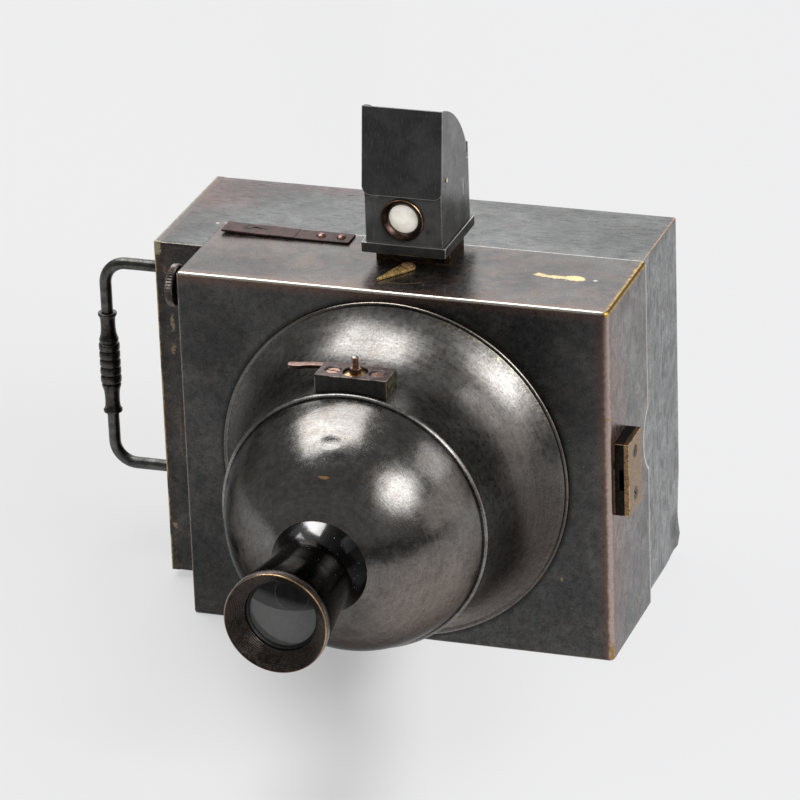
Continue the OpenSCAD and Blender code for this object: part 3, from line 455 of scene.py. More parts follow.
def gunmetal(name, base, lo=0.26, hi=0.36, grain=1.0, brown=(0.115, 0.098, 0.086), brown_amt=0.55, spin=1.0, scratches=(), rims=(), shade_patches=(), tints=(), dents=(), verd=False, edge=0.8):
    """Blackened sheet spun round the lens axis."""
    g = Mat(name, metallic=1.0, rough=0.3)
    g.b.inputs["Specular Tint"].default_value = (edge, edge, edge, 1.0)
    zz = g.sub(g.Z, AX)
    rad = g.math("SQRT", g.add(g.mul(g.X, g.X), g.mul(zz, zz)))
    ang = g.math("ARCTAN2", zz, g.X)
    ring = g.vec(g.mul(rad, 2.2), g.mul(g.Y, 2.2), g.mul(ang, 1.6))
    sp = g.noise(1.0, 4, 0.7, vec=ring)
    cloud = g.noise(0.045, 5, 0.62, 0.5)
    cloud2 = g.noise(0.12, 5, 0.68, 0.7, off=(20, 11, 7))
    mid = g.noise(0.5, 5, 0.72, off=(8, 3, 1))
    fine = g.noise(1.6, 3, 0.75)
    col = g.mix(g.ramp(cloud, 0.34, 0.68), tuple(c * 0.80 for c in base), tuple(c * 1.18 for c in base))
    col = g.mix(g.mul(g.ramp(cloud2, 0.44, 0.66), brown_amt), col, brown)
    k = g.add(g.ramp(mid, 0.33, 0.67, 0.87, 1.12), g.ramp(fine, 0.30, 0.70, -0.24 * grain, 0.24 * grain))
    k = g.add(k, g.ramp(sp, 0.32, 0.68, -0.20 * spin, 0.20 * spin))
    for c, rr, colour, amount in tints:
        e = g.add(g.spot(c, rr), g.mul(g.sub(cloud2, 0.5), 1.2))
        col = g.mix(g.mul(g.ramp(e, 1.2, 0.35), amount), col, colour)
    # painted shade: each patch darkens the tone by its factor
    for c, rr, f in shade_patches:
        e = g.add(g.spot(c, rr), g.mul(g.sub(cloud2, 0.5), 1.2))
        k = g.mul(k, g.ramp(e, 0.3, 1.15, f, 1.0))
    col = g.tone(col, k)
    spk = g.mul(g.ramp(g.noise(1.4, 2, 0.5, off=(5, 17, 3)), 0.735, 0.785), 0.6)
    col = g.mix(spk, col, (0.50, 0.47, 0.42))
    r = g.ramp(mid, 0.3, 0.72, lo, hi)
    r = g.add(r, g.mul(g.ramp(fine, 0.50, 0.34), 0.08))
    if verd:
        m = g.mul(g.ramp(g.math("ABSOLUTE", g.sub(g.Y, YF - 0.9)), 1.6, 0.8), g.ramp(g.noise(0.9, 4, 0.75, off=(7, 2, 9)), 0.56, 0.62))
        m = g.mul(m, g.mul(g.ramp(ang, math.radians(15), math.radians(30)), g.ramp(ang, math.radians(86), math.radians(74))))
        col = g.mix(m, col, (0.46, 0.44, 0.24))
    for (y, w, colour, rg) in rims:
        d = g.math("ABSOLUTE", g.sub(g.Y, y))
        d = g.add(d, g.mul(g.sub(g.noise(0.8, 3, 0.7), 0.5), w * rg))
        m = g.ramp(d, w, w * 0.4)
        col = g.mix(m, col, colour)
        r = g.mixf(m, r, 0.26)
    for c, rr, th, colour in scratches:
        v = g.add(g.spot(c, rr), g.mul(g.sub(g.noise(0.9, 4, 0.75, 1.5, off=(c[0], 3, c[1])), 0.5), 2.2))
        w = g.ramp(v, th, th - 0.15)
        col = g.mix(w, col, colour)
    nrm = g.bump(g.add(g.mul(fine, grain), g.mul(sp, 1.2 * spin)), 0.06, 0.0002)
    nrm = g.bump(cloud2, 0.06, 0.0015, nrm)
    for c, rr, deep in dents:
        nrm = g.bump(g.ramp(g.add(g.spot(c, rr), g.mul(g.sub(mid, 0.5), 0.5)), 0.2, 1.0), 1.0, deep, nrm)
    return g.done(col, None, r, nrm)


M["bell"] = gunmetal("spun_gunmetal", (0.186, 0.179, 0.171), 0.24, 0.33,
                     rims=[(YF - 0.75, 0.42, (0.44, 0.37, 0.31), 0.5)], verd=True, spin=0.8,
                     tints=[((40, -24, 38), (34, 22, 44), (0.160, 0.130, 0.110), 0.7), ((-20, -22, 18), (48, 26, 24), (0.30, 0.225, 0.175), 0.8)],
                     # darker top, left, lower right and right of the bell: painted shade
                     shade_patches=[((0, YF - 2, 124), (46, 5, 7), 0.62), ((-54, -20, 58), (22, 16, 50), 0.70), ((42, YF - 10, 22), (26, 20, 26), 0.80), ((50, -22, 52), (26, 22, 38), 0.48)])
M["ball"] = gunmetal("spun_ball", (0.160, 0.154, 0.147), 0.17, 0.24, spin=0.55, grain=0.55, edge=0.35,
                     tints=[((30, -72, 46), (26, 26, 26), (0.215, 0.180, 0.160), 0.75), ((4, -76, 30), (26, 16, 14), (0.19, 0.165, 0.155), 0.6)],
                     # darker spots on the dent and on the left and lower front of the ball: painted shade and painted
                     # dark reflections
                     shade_patches=[((3.2, -78.0, 97.0), (4.4, 3.4, 2.0), 0.62), ((-1.0, -74.0, 100.0), (2.6, 2.2, 1.1), 0.45),
                           ((-46, -64, 50), (30, 34, 50), 0.34), ((-26, -84, 42), (26, 22, 30), 0.55)],
                     dents=[((-0.4, -74.6, 99.5), (4.2, 3.6, 2.4), 0.0003)],
                     scratches=[((0.2, -83.7, 91.1), (2.6, 1.6, 0.55), 0.80, (0.66, 0.40, 0.20))])
M["lip"] = gunmetal("spun_lip", (0.24, 0.23, 0.22), 0.22, 0.32)


def simple(name, a, b, metallic, rough, scale=0.4, bump=0.06, spots=None, brush=None, pits=None, spec=0.5):
    g = Mat(name, metallic=metallic, rough=rough, spec=spec)
    n = g.noise(scale, 5, 0.65, 0.4)
    f = g.noise(3.0, 3, 0.7)
    col = g.mix(g.ramp(n, 0.34, 0.68), a, b)
    if spots is not None:
        col = g.mix(g.ramp(g.noise(scale * 2.4, 4, 0.7, 0.8, off=(3, 9, 27)), 0.50, 0.66), col, spots)
    if pits is not None:
        col = g.mix(g.mul(g.ramp(f, 0.48, 0.34), 0.8), col, pits)
    h = f
    if brush is not None:
        br = g.noise(1.0, 4, 0.75, vec=g.stretch(brush))
        col = g.mix(g.mul(g.ramp(br, 0.50, 0.72), 0.4), col, tuple(min(1, c * 1.5) for c in b))
        h = g.add(h, g.mul(br, 1.5))
    r = g.ramp(g.noise(0.9, 4, 0.7, off=(3, 3, 3)), 0.3, 0.72, rough * 0.85, rough * 1.25)
    return g.done(col, None, r, g.bump(h, bump, 0.0002))


# barrel: polished black, with dust, a painted highlight on the upper left of the flare and painted shade down its right
# side; matt inside
g = Mat("black_enamel", metallic=1.0, rough=0.08)
g.b.inputs["Specular Tint"].default_value = (0.70, 0.70, 0.70, 1.0)
zz = g.sub(g.Z, AX)
rad = g.math("SQRT", g.add(g.mul(g.X, g.X), g.mul(zz, zz)))
dust = g.ramp(g.noise(1.5, 2, 0.5, off=(4, 4, 4)), 0.725, 0.765)
foot = g.ramp(g.add(g.Y, g.mul(g.sub(g.noise(0.7, 3, 0.6), 0.5), 0.4)), -91.0, -90.85)
inside = g.ramp(rad, 12.3, 12.15)
col = g.mix(g.ramp(g.noise(0.12, 4, 0.65), 0.35, 0.7), (0.034, 0.033, 0.034), (0.050, 0.049, 0.048))
col = g.mix(g.mul(g.ramp(g.noise(2.0, 3, 0.7, off=(7, 7, 1)), 0.46, 0.36), 0.5), col, (0.05, 0.05, 0.05))
ang = g.math("ARCTAN2", zz, g.X)
# the right side is darkened: painted shade
side = g.ramp(g.math("COSINE", g.sub(ang, -0.30)), -0.45, 0.20)
col = g.tone(col, g.mixf(side, 1.0, 0.22))
# a brighter patch on the upper left of the flare: painted highlight
patch = g.mul(g.ramp(g.math("COSINE", g.sub(ang, 2.0)), 0.25, 0.80), g.ramp(g.Y, -106.0, -99.5))
col = g.tone(col, g.mixf(patch, g.line(g.Y, -103.5, -99.0, 1.0, 0.80), 4.6))
col = g.mix(g.mul(dust, 0.8), col, (0.55, 0.53, 0.50))
col = g.mix(foot, col, (0.42, 0.25, 0.17))
col = g.mix(inside, col, (0.004, 0.004, 0.004))
r = g.add(g.add(g.ramp(g.noise(0.5, 4, 0.7), 0.35, 0.75, -0.01, 0.03), g.line(g.Y, -103.0, -91.5, 0.08, 0.13)), g.mul(dust, 0.45))
r = g.mixf(inside, r, 0.6)
M["enamel"] = g.done(col, g.sub(1.0, inside), r, g.bump(g.noise(0.22, 2, 0.4), 0.05, 0.001))

# hood: brown-bronzed, rim worn to gold; painted shade and highlights on the grooves inside
g = Mat("bronzed_hood", metallic=1.0, rough=0.36)
zz = g.sub(g.Z, AX)
rad = g.math("SQRT", g.add(g.mul(g.X, g.X), g.mul(zz, zz)))
ang = g.math("ARCTAN2", zz, g.X)
n = g.noise(0.35, 5, 0.7, 0.5)
n2 = g.noise(1.6, 4, 0.72)
col = g.mix(g.ramp(n, 0.35, 0.68), (0.060, 0.046, 0.040), (0.130, 0.095, 0.078))
inside = g.ramp(rad, 16.7, 16.2)
col = g.mix(inside, col, g.mix(g.ramp(n, 0.35, 0.68), (0.060, 0.050, 0.043), (0.092, 0.078, 0.068)))
col = g.tone(col, g.ramp(n2, 0.28, 0.74, 0.62, 1.40))
# the inside grooves are darkened and their ridges lightened: painted shade and painted highlights
groove_shade_and_glint = g.math("ABSOLUTE", g.sub(g.math("FRACT", g.mul(g.sub(rad, 12.1), 11 / 4.6)), 0.45))
col = g.tone(col, g.mixf(inside, 1.0, g.ramp(groove_shade_and_glint, 0.10, 0.32, 0.22, 1.95)))
edge = g.math("ABSOLUTE", g.sub(rad, 17.0))
edge = g.add(edge, g.mul(g.math("ABSOLUTE", g.sub(g.Y, -133.15)), 1.0))
edge = g.add(edge, g.mul(g.sub(g.noise(1.2, 4, 0.7), 0.5), 0.32))
top = g.math("COSINE", g.sub(ang, 0.85))
pinkw = g.ramp(edge, 0.40, 0.14)
col = g.mix(g.mul(pinkw, 0.85), col, (0.30, 0.20, 0.155))
wear = g.mul(pinkw, g.ramp(g.add(top, g.mul(g.sub(n, 0.5), 1.2)), 0.1, 0.75))
col = g.mix(wear, col, g.mix(g.ramp(g.noise(2.5, 3, 0.7), 0.35, 0.7), (0.50, 0.28, 0.10), (0.85, 0.60, 0.34)))
nick = g.mul(g.ramp(g.noise(0.9, 3, 0.6, off=(3, 2, 9)), 0.73, 0.77), g.sub(1.0, inside))
col = g.mix(nick, col, (0.55, 0.38, 0.26))
r = g.mixf(pinkw, g.ramp(n, 0.3, 0.7, 0.24, 0.36), 0.24)
M["hood"] = g.done(col, None, r, g.bump(g.noise(2.2, 3, 0.7), 0.06, 0.0002))

M["matt"] = simple("matt_black", (0.006, 0.006, 0.006), (0.014, 0.014, 0.014), 0.0, 0.55, 0.5, 0.12)
M["brass"] = simple("raw_brass", (0.40, 0.27, 0.11), (0.58, 0.41, 0.18), 1.0, 0.32, 0.2, 0.06, spots=(0.30, 0.20, 0.10))
g = Mat("arbor_bronze", metallic=1.0, rough=0.30)
n = g.noise(1.2, 5, 0.65, 0.4)
col = g.mix(g.ramp(n, 0.34, 0.68), (0.20, 0.115, 0.085), (0.36, 0.225, 0.165))
disc = g.mul(g.ramp(g.Z, 112.75, 112.5), g.ramp(g.Z, 111.0, 111.4))
col = g.mix(disc, col, g.mix(g.ramp(n, 0.36, 0.64), (0.40, 0.24, 0.10), (0.88, 0.64, 0.34)))
col = g.mix(g.ramp(g.Z, 118.45, 118.56), col, (0.50, 0.48, 0.46))
M["bronze"] = g.done(col, None, g.ramp(n, 0.3, 0.7, 0.24, 0.38), g.bump(g.noise(3.0, 3, 0.7), 0.08, 0.0002))
M["disc"] = simple("disc_brass", (0.62, 0.36, 0.16), (0.85, 0.56, 0.30), 1.0, 0.25, 1.0, 0.06, spots=(0.38, 0.19, 0.09))
M["screw"] = simple("copper_screws", (0.36, 0.20, 0.15), (0.62, 0.40, 0.32), 1.0, 0.28, 1.1, 0.08, spots=(0.16, 0.07, 0.05))
M["spring"] = simple("spring_steel", (0.20, 0.19, 0.18), (0.34, 0.32, 0.30), 1.0, 0.35, 0.3, 0.06)
M["knob"] = simple("knob_brass", (0.085, 0.072, 0.066), (0.22, 0.190, 0.175), 1.0, 0.38, 0.5, 0.10, pits=(0.03, 0.026, 0.024))
M["shoe_screw"] = simple("shoe_screws_dark", (0.030, 0.021, 0.015), (0.085, 0.055, 0.036), 0.8, 0.42, 0.9, 0.10)
M["handle"] = simple("handle_steel", (0.050, 0.053, 0.052), (0.135, 0.136, 0.130), 1.0, 0.32, 0.25, 0.08,
                     spots=(0.12, 0.100, 0.080), pits=(0.03, 0.03, 0.03))
M["grip"] = simple("grip_black", (0.034, 0.034, 0.035), (0.088, 0.085, 0.081), 1.0, 0.32, 0.3, 0.08,
                   spots=(0.105, 0.082, 0.066), pits=(0.018, 0.018, 0.018))
M["tin"] = simple("plate_tin", (0.012, 0.012, 0.012), (0.030, 0.029, 0.028), 0.0, 0.42, 0.2, 0.08)
M["screen"] = simple("ground_glass", (0.55, 0.57, 0.55), (0.68, 0.70, 0.67), 0.0, 0.55, 0.4, 0.10)
M["mirror"] = simple("mirror", (0.78, 0.79, 0.80), (0.86, 0.87, 0.88), 1.0, 0.05, 0.3, 0.01)

# arbor block: reddish grey top, near-black sides, worn arrises
BLK = (-12.3, 12.3, -54.1, -43.1, 106.0, 113.3)
g = Mat("block_brass", rough=0.36, spec=0.25)
n = g.noise(0.5, 5, 0.65, 0.4)
up = g.ramp(g.Z, 113.0, 113.25)
col = g.mix(g.ramp(n, 0.35, 0.68), (0.011, 0.012, 0.012), (0.030, 0.027, 0.023))
colt = g.mix(g.ramp(n, 0.35, 0.68), (0.060, 0.045, 0.045), (0.130, 0.092, 0.084))
col = g.mix(up, col, colt)
d = g.add(g.boxdist(BLK), g.mul(g.sub(g.noise(1.4, 4, 0.7), 0.5), 0.5))
w = g.mul(g.ramp(d, 0.28, 0.10), g.ramp(g.noise(0.35, 3, 0.6), 0.40, 0.55))
col = g.mix(w, col, (0.45, 0.36, 0.30))
side = g.mul(g.ramp(g.X, 11.6, 12.2), g.ramp(n, 0.45, 0.62))
col = g.mix(g.mul(side, 0.6), col, (0.13, 0.115, 0.05))
met = g.math("MAXIMUM", w, g.mul(up, 0.7))
M["block"] = g.done(col, met, g.ramp(g.noise(1.1, 4, 0.7), 0.3, 0.7, 0.30, 0.46), g.bump(g.noise(2.4, 4, 0.7), 0.08, 0.0002))

# release lever: pinkish copper on top, dark edge
g = Mat("lever_copper", metallic=1.0, rough=0.34)
n = g.noise(0.7, 5, 0.65, 0.4)
up = g.ramp(g.Z, 110.35, 110.66)
col = g.mix(g.ramp(n, 0.35, 0.68), (0.045, 0.030, 0.026), (0.10, 0.06, 0.05))
col = g.mix(up, col, g.mix(g.ramp(n, 0.35, 0.68), (0.42, 0.27, 0.23), (0.62, 0.44, 0.38)))
M["lever"] = g.done(col, None, g.ramp(n, 0.3, 0.7, 0.28, 0.42), g.bump(g.noise(2.4, 4, 0.7), 0.08, 0.0002))

# pointer: bright gold blade, brown slotted screw in its head
g = Mat("pointer_brass", metallic=1.0, rough=0.3)
n = g.noise(0.9, 5, 0.7, 0.6)
col = g.mix(g.ramp(n, 0.34, 0.60), (0.34, 0.20, 0.06), (0.74, 0.50, 0.18))
col = g.mix(g.ramp(g.noise(2.2, 3, 0.7), 0.56, 0.66), col, (0.90, 0.68, 0.32))
col = g.mix(g.ramp(g.noise(1.0, 3, 0.7, vec=g.vec(g.mul(g.X, 0.5), g.mul(g.Y, 3.2), 0.0)), 0.50, 0.62), col, (0.085, 0.048, 0.022))
M["pointer"] = g.done(col, 0.6, g.ramp(n, 0.3, 0.7, 0.22, 0.34), g.bump(g.noise(2.4, 4, 0.7), 0.10, 0.0002))
M["pscrew"] = simple("pointer_screw", (0.26, 0.150, 0.085), (0.46, 0.29, 0.17), 0.35, 0.34, 1.0, 0.08, spots=(0.12, 0.07, 0.045))

# rusty catch, with painted shade in the tear and along the lower edges
g = Mat("rusty_spring", rough=0.5, spec=0.25)
n = g.noise(0.28, 5, 0.7, 0.5)
n2 = g.noise(0.9, 4, 0.7, 0.8, off=(3, 9, 1))
col = g.mix(g.ramp(n, 0.36, 0.66), (0.034, 0.021, 0.019), (0.110, 0.056, 0.048))
col = g.mix(g.mul(g.ramp(n2, 0.52, 0.68), 0.7), col, (0.17, 0.085, 0.062))
col = g.mix(g.mul(g.ramp(n2, 0.50, 0.36), 0.8), col, (0.012, 0.009, 0.009))
# painted shade: the tear lines are painted near-black
tear_shade = 0.0
for xa, ya, xb, yb in ((-64.6, 26.9, -63.9, 29.9), (-63.9, 29.9, -60.9, 28.7), (-60.9, 28.7, -57.0, 27.8)):
    ln = math.hypot(xb - xa, yb - ya)
    u, v = (xb - xa) / ln, (yb - ya) / ln
    px, py = g.sub(g.X, xa), g.sub(g.Y, ya)
    along = g.math("MINIMUM", g.math("MAXIMUM", g.add(g.mul(px, u), g.mul(py, v)), 0.0), ln)
    qx, qy = g.sub(px, g.mul(along, u)), g.sub(py, g.mul(along, v))
    dd = g.math("SQRT", g.add(g.mul(qx, qx), g.mul(qy, qy)))
    tear_shade = g.math("MAXIMUM", tear_shade, g.ramp(g.add(dd, g.mul(g.sub(n2, 0.5), 0.5)), 0.62, 0.36))
col = g.mix(tear_shade, col, (0.004, 0.003, 0.003))
# the sides below the top are darkened: painted shade under the strip
up = g.ramp(g.Z, 127.1, 127.4)
col = g.mix(g.sub(1.0, up), col, (0.012, 0.009, 0.008))
M["rust"] = g.done(col, g.mul(g.ramp(n, 0.40, 0.65), 0.35), g.ramp(n2, 0.3, 0.7, 0.42, 0.66), g.bump(g.noise(1.8, 5, 0.75), 0.25, 0.0003))
M["rivet"] = simple("rivet_copper", (0.16, 0.09, 0.07), (0.34, 0.20, 0.15), 1.0, 0.30, 0.9, 0.08, spots=(0.07, 0.04, 0.03))

# shoes
def shoe_mat(name, box, a, b, edgec, stipple=0.0):
    g = Mat(name, metallic=1.0, rough=0.36)
    n = g.noise(0.45, 5, 0.7, 0.6)
    col = g.mix(g.ramp(n, 0.34, 0.68), a, b)
    n3 = g.noise(1.7, 4, 0.75, 0.4, off=(8, 8, 1))
    col = g.mix(g.mul(g.ramp(n3, 0.50, 0.64), 0.75), col, tuple(c * 0.25 for c in a))
    d = g.add(g.boxdist(box), g.mul(g.sub(g.noise(1.4, 4, 0.7), 0.5), 0.5))
    w = g.mul(g.ramp(d, 0.34, 0.12), g.ramp(g.noise(0.22, 3, 0.6, off=(3, 6, 2)), 0.40, 0.56))
    col = g.mix(w, col, edgec)
    h = g.noise(2.4, 4, 0.7)
    if stipple:
        v = g.voro(1.15, vec=g.stretch((1, 1, 0.62)))
        st = g.ramp(v, 0.30, 0.16)
        col = g.mix(g.mul(st, stipple), col, (0.035, 0.024, 0.014))
        h = g.sub(h, g.mul(st, 1.5))
    return g.done(col, None, g.ramp(n, 0.3, 0.7, 0.30, 0.46), g.bump(h, 0.12, 0.0002))


M["shoe_base"] = shoe_mat("shoe_dark", (75, 80.2, -9.2, 6.2, 52.6, 78.6), (0.008, 0.008, 0.007), (0.028, 0.023, 0.018), (0.40, 0.26, 0.13))
M["shoe_cover"] = shoe_mat("shoe_brass", (75, 80.2, -9.2, 6.2, 52.6, 78.6), (0.20, 0.122, 0.066), (0.40, 0.255, 0.135), (0.70, 0.45, 0.20), 0.85)
M["shoe_top"] = shoe_mat("shoe_top", (-13.4, 12.6, 14.2, 29.6, 126.7, 131.9), (0.045, 0.034, 0.026), (0.150, 0.098, 0.055), (0.55, 0.38, 0.20))

# finder: satin black with vertical brush marks, silvery arrises
def finder_mat(name, box, dark, light, rough, width=0.3, amount=1.0, brush=(3.0, 3.0, 0.16), amp=0.35, scr=(), arris=None, right=None):
    g = Mat(name, rough=rough, spec=0.5)
    n = g.noise(0.09, 4, 0.6, 0.4)
    br = g.noise(1.0, 4, 0.75, vec=g.stretch(brush))
    col = g.mix(g.ramp(n, 0.36, 0.68), dark, light)
    col = g.mix(g.mul(g.ramp(br, 0.52, 0.74), amp), col, tuple(min(1, c * 3.0) for c in light))
    # lightens the right cheek: painted light
    if right:
        col = g.tone(col, g.mixf(g.ramp(g.X, 12.7, 12.95), 1.0, right))
    sp = g.mul(g.ramp(g.noise(1.7, 2, 0.5, off=(5, 17, 3)), 0.75, 0.80), 0.8)
    col = g.mix(sp, col, PALE)
    d = g.add(arris(g) if arris else g.boxdist(box), g.mul(g.sub(g.noise(1.4, 4, 0.7), 0.5), width * 1.4))
    w = g.mul(g.ramp(d, width, width * 0.35), g.ramp(g.noise(0.3, 3, 0.6, off=(2, 2, 8)), 0.60 - 0.4 * amount, 0.72 - 0.4 * amount))
    col = g.mix(w, col, (0.55, 0.54, 0.52))
    met = g.math("MAXIMUM", w, sp)
    for c, rr, th, colour in scr:
        v = g.add(g.spot(c, rr), g.mul(g.sub(g.noise(1.2, 4, 0.75, 1.5), 0.5), 1.2))
        q = g.ramp(v, th, th - 0.3)
        col = g.mix(q, col, colour)
        met = g.math("MAXIMUM", met, q)
    r = g.ramp(g.noise(0.5, 4, 0.7, off=(3, 3, 3)), 0.3, 0.72, rough * 0.85, rough * 1.2)
    return g.done(col, met, r, g.bump(g.add(g.noise(2.0, 3, 0.7), g.mul(br, 1.5)), 0.08, 0.0002))


def lid_arris(g):
    """Distance from the edges of the tilted lid."""
    c, sn = math.cos(math.radians(7)), math.sin(math.radians(7))
    y, z = g.sub(g.Y, 11.1), g.sub(g.Z, 158.3)
    yl = g.math("ABSOLUTE", g.add(g.sub(g.mul(y, c), g.mul(z, sn)), 4.75))
    zl = g.add(g.mul(y, sn), g.mul(z, c))
    sx = g.math("ABSOLUTE", g.sub(g.math("ABSOLUTE", g.add(g.X, 0.8)), 13.95))
    # the two rounded lower corners
    qx = g.math("MAXIMUM", g.sub(g.math("ABSOLUTE", g.add(g.X, 0.8)), 10.95), 0.0)
    qz = g.math("MAXIMUM", g.sub(-3.05, zl), 0.0)
    cr = g.math("ABSOLUTE", g.sub(g.math("SQRT", g.add(g.mul(qx, qx), g.mul(qz, qz))), 3.0))
    low = g.ramp(zl, -3.0, -3.1)
    side = g.mixf(low, sx, g.add(cr, 0.0))
    top = g.math("ABSOLUTE", g.sub(zl, 24.15))
    return g.math("MAXIMUM", g.math("MINIMUM", side, top), yl)


M["fbody"] = finder_mat("finder_black", (-14.2, 12.6, 6.8, 36.8, 135.7, 157.2), (0.042, 0.042, 0.041), (0.092, 0.090, 0.088), 0.30, 0.26, 1.3,
                        scr=[((12.6, 30.5, 148.8), (0.5, 0.3, 3.6), 1.0, (0.55, 0.55, 0.55)), ((-10.5, 6.8, 152.5), (3.4, 0.6, 2.6), 0.55, (0.16, 0.16, 0.155)),
                             ((-3, 6.8, 152.6), (4.5, 0.6, 1.6), 0.50, (0.14, 0.14, 0.135)), ((7.5, 6.8, 141), (3.0, 0.6, 3.0), 0.40, (0.10, 0.10, 0.10))])
M["fbase"] = finder_mat("finder_base_black", (-15.75, 13.85, 6.0, 38.8, 132.0, 135.7), (0.020, 0.020, 0.020), (0.046, 0.045, 0.043), 0.32, 0.34, 1.4,
                        brush=(0.2, 0.2, 3.0))
# right=2.9 makes the right cheek lighter: painted light
M["fhood"] = finder_mat("finder_hood_black", (-14.7, 13.0, 5.0, 33.0, 152.3, 182.6), (0.023, 0.023, 0.023), (0.044, 0.044, 0.044), 0.38, 0.22, 1.3, amp=0.6, arris=lid_arris, right=2.9)

g = Mat("finder_ring", metallic=1.0, rough=0.3)
n = g.noise(0.8, 5, 0.7, 0.6)
col = g.mix(g.ramp(n, 0.36, 0.66), (0.022, 0.015, 0.012), (0.060, 0.036, 0.027))
rr = g.math("SQRT", g.add(g.math("POWER", g.add(g.X, 1.1), 2.0), g.math("POWER", g.sub(g.Z, 144.5), 2.0)))
w = g.ramp(g.add(g.math("ABSOLUTE", g.sub(rr, 7.25)), g.mul(g.sub(g.noise(1.6, 3, 0.7), 0.5), 0.3)), 0.16, 0.03)
w = g.mul(w, g.ramp(g.add(g.mul(g.add(g.X, 1.1), 0.7), g.sub(g.Z, 144.5)), -2.0, 4.0))
col = g.mix(w, col, (0.48, 0.29, 0.16))
# copper at the lower left of the ring: painted highlight
cop = g.mul(g.ramp(g.add(g.add(g.X, 1.1), g.sub(g.Z, 144.5)), -4.0, -8.5), 0.30)
col = g.mix(cop, col, (0.16, 0.10, 0.085))
col = g.mix(g.mul(g.ramp(rr, 6.9, 6.5), g.ramp(g.X, 1.0, 4.0)), col, (0.018, 0.013, 0.011))
M["fring"] = g.done(col, None, g.ramp(n, 0.3, 0.7, 0.24, 0.38), g.bump(g.noise(2.0, 3, 0.7), 0.05, 0.0002))

g = Mat("finder_lens_glass", rough=0.22, spec=0.6, coat=1.0, coat_rough=0.04)
n = g.noise(0.35, 4, 0.6, 0.5)
col = g.mix(g.ramp(n, 0.36, 0.66), (0.84, 0.81, 0.70), (0.95, 0.93, 0.87))
# the lower part is darker: painted shade
low = g.ramp(g.Z, 142.5, 139.6)
col = g.mix(low, col, (0.60, 0.58, 0.42))
# the emission makes the lens glow: painted light
g.put(g.b.inputs["Emission Color"], g.mix(g.ramp(g.noise(0.5, 4, 0.65, off=(4, 1, 8)), 0.36, 0.66), (0.80, 0.75, 0.62), (1.0, 0.97, 0.90)))
g.b.inputs["Emission Strength"].default_value = 0.42
M["flens"] = g.done(col, None, None, g.bump(g.noise(1.5, 3, 0.6), 0.04, 0.0002))


def glass(name, tint=(1, 1, 1), rough=0.0, ior=1.5):
    g = Mat(name, rough=rough, ior=ior)
    g.b.inputs["Transmission Weight"].default_value = 1.0
    col = g.mix(g.ramp(g.noise(1.8, 2, 0.5), 0.76, 0.80), tint, (0.6, 0.6, 0.6))
    return g.done(col, None, None, None)


# front lens: half clear; its lower part is lighter, a painted reflection, and its top darker, the painted shade of the
# ring, with a painted ghost reflection near the middle
g = Mat("front_glass", rough=0.03, ior=1.5)
g.b.inputs["Transmission Weight"].default_value = 0.45
zz = g.sub(g.Z, AX)
dx, dz = g.sub(g.X, 2.0), g.sub(zz, 30.0)
shade = g.ramp(g.math("SQRT", g.add(g.mul(dx, dx), g.mul(dz, dz))), 28.7, 28.2)
ex, ez = g.sub(g.X, 3.4), g.sub(zz, 7.2)
er = g.math("SQRT", g.add(g.mul(ex, ex), g.mul(ez, ez)))
# painted ghost reflection: a ring round a darker disc
painted_ghost_ring = g.mul(g.ramp(g.math("ABSOLUTE", g.sub(er, 5.6)), 0.30, 0.08), shade)
# lighter lower part: painted reflection; darker top: painted shade of the ring
col = g.mix(shade, (0.240, 0.238, 0.234), (0.036, 0.037, 0.038))
col = g.mix(g.mul(g.mul(g.ramp(er, 5.7, 5.4), shade), 0.7), col, (0.014, 0.014, 0.015))
col = g.mix(g.mul(painted_ghost_ring, 0.5), col, (0.20, 0.20, 0.20))
col = g.mix(g.mul(g.ramp(g.noise(0.5, 3, 0.6), 0.40, 0.66), 0.22), col, (0.10, 0.10, 0.10))
col = g.mix(g.ramp(g.noise(1.9, 2, 0.5), 0.74, 0.79), col, (0.5, 0.5, 0.5))
M["front_glass"] = g.done(col, None, None, None)
M["glass"] = glass("optical_glass", (0.93, 0.94, 0.93))
M["plate_glass"] = glass("plate_glass", (0.85, 0.90, 0.87))

# --------------------------------------------------------------- geometry


def make(name, verts, faces, mat, smooth=True, scale=MM):
    me = bpy.data.meshes.new(name)
    me.from_pydata([(x * scale, y * scale, z * scale) for x, y, z in verts], [], faces)
    me.validate()
    me.update()
    for p in me.polygons:
        p.use_smooth = smooth
    o = bpy.data.objects.new(name, me)
    scene.collection.objects.link(o)
    me.materials.append(mat)
    return o


def fix_normals(o):
    bm = bmesh.new()
    bm.from_mesh(o.data)
    bmesh.ops.recalc_face_normals(bm, faces=bm.faces)
    bm.to_mesh(o.data)
    bm.free()
    return o


def sharpen(o, angle=32):
    bm = bmesh.new()
    bm.from_mesh(o.data)
    for e in bm.edges:
        if len(e.link_faces) == 2:
            e.smooth = e.calc_face_angle(0) < math.radians(angle)
    for f in bm.faces:
        f.smooth = True
    bm.to_mesh(o.data)
    bm.free()
    return o


def weighted(o):
    m = o.modifiers.new("wn", "WEIGHTED_NORMAL")
    m.keep_sharp = True
    m.weight = 60
    m.mode = "FACE_AREA"
    return o


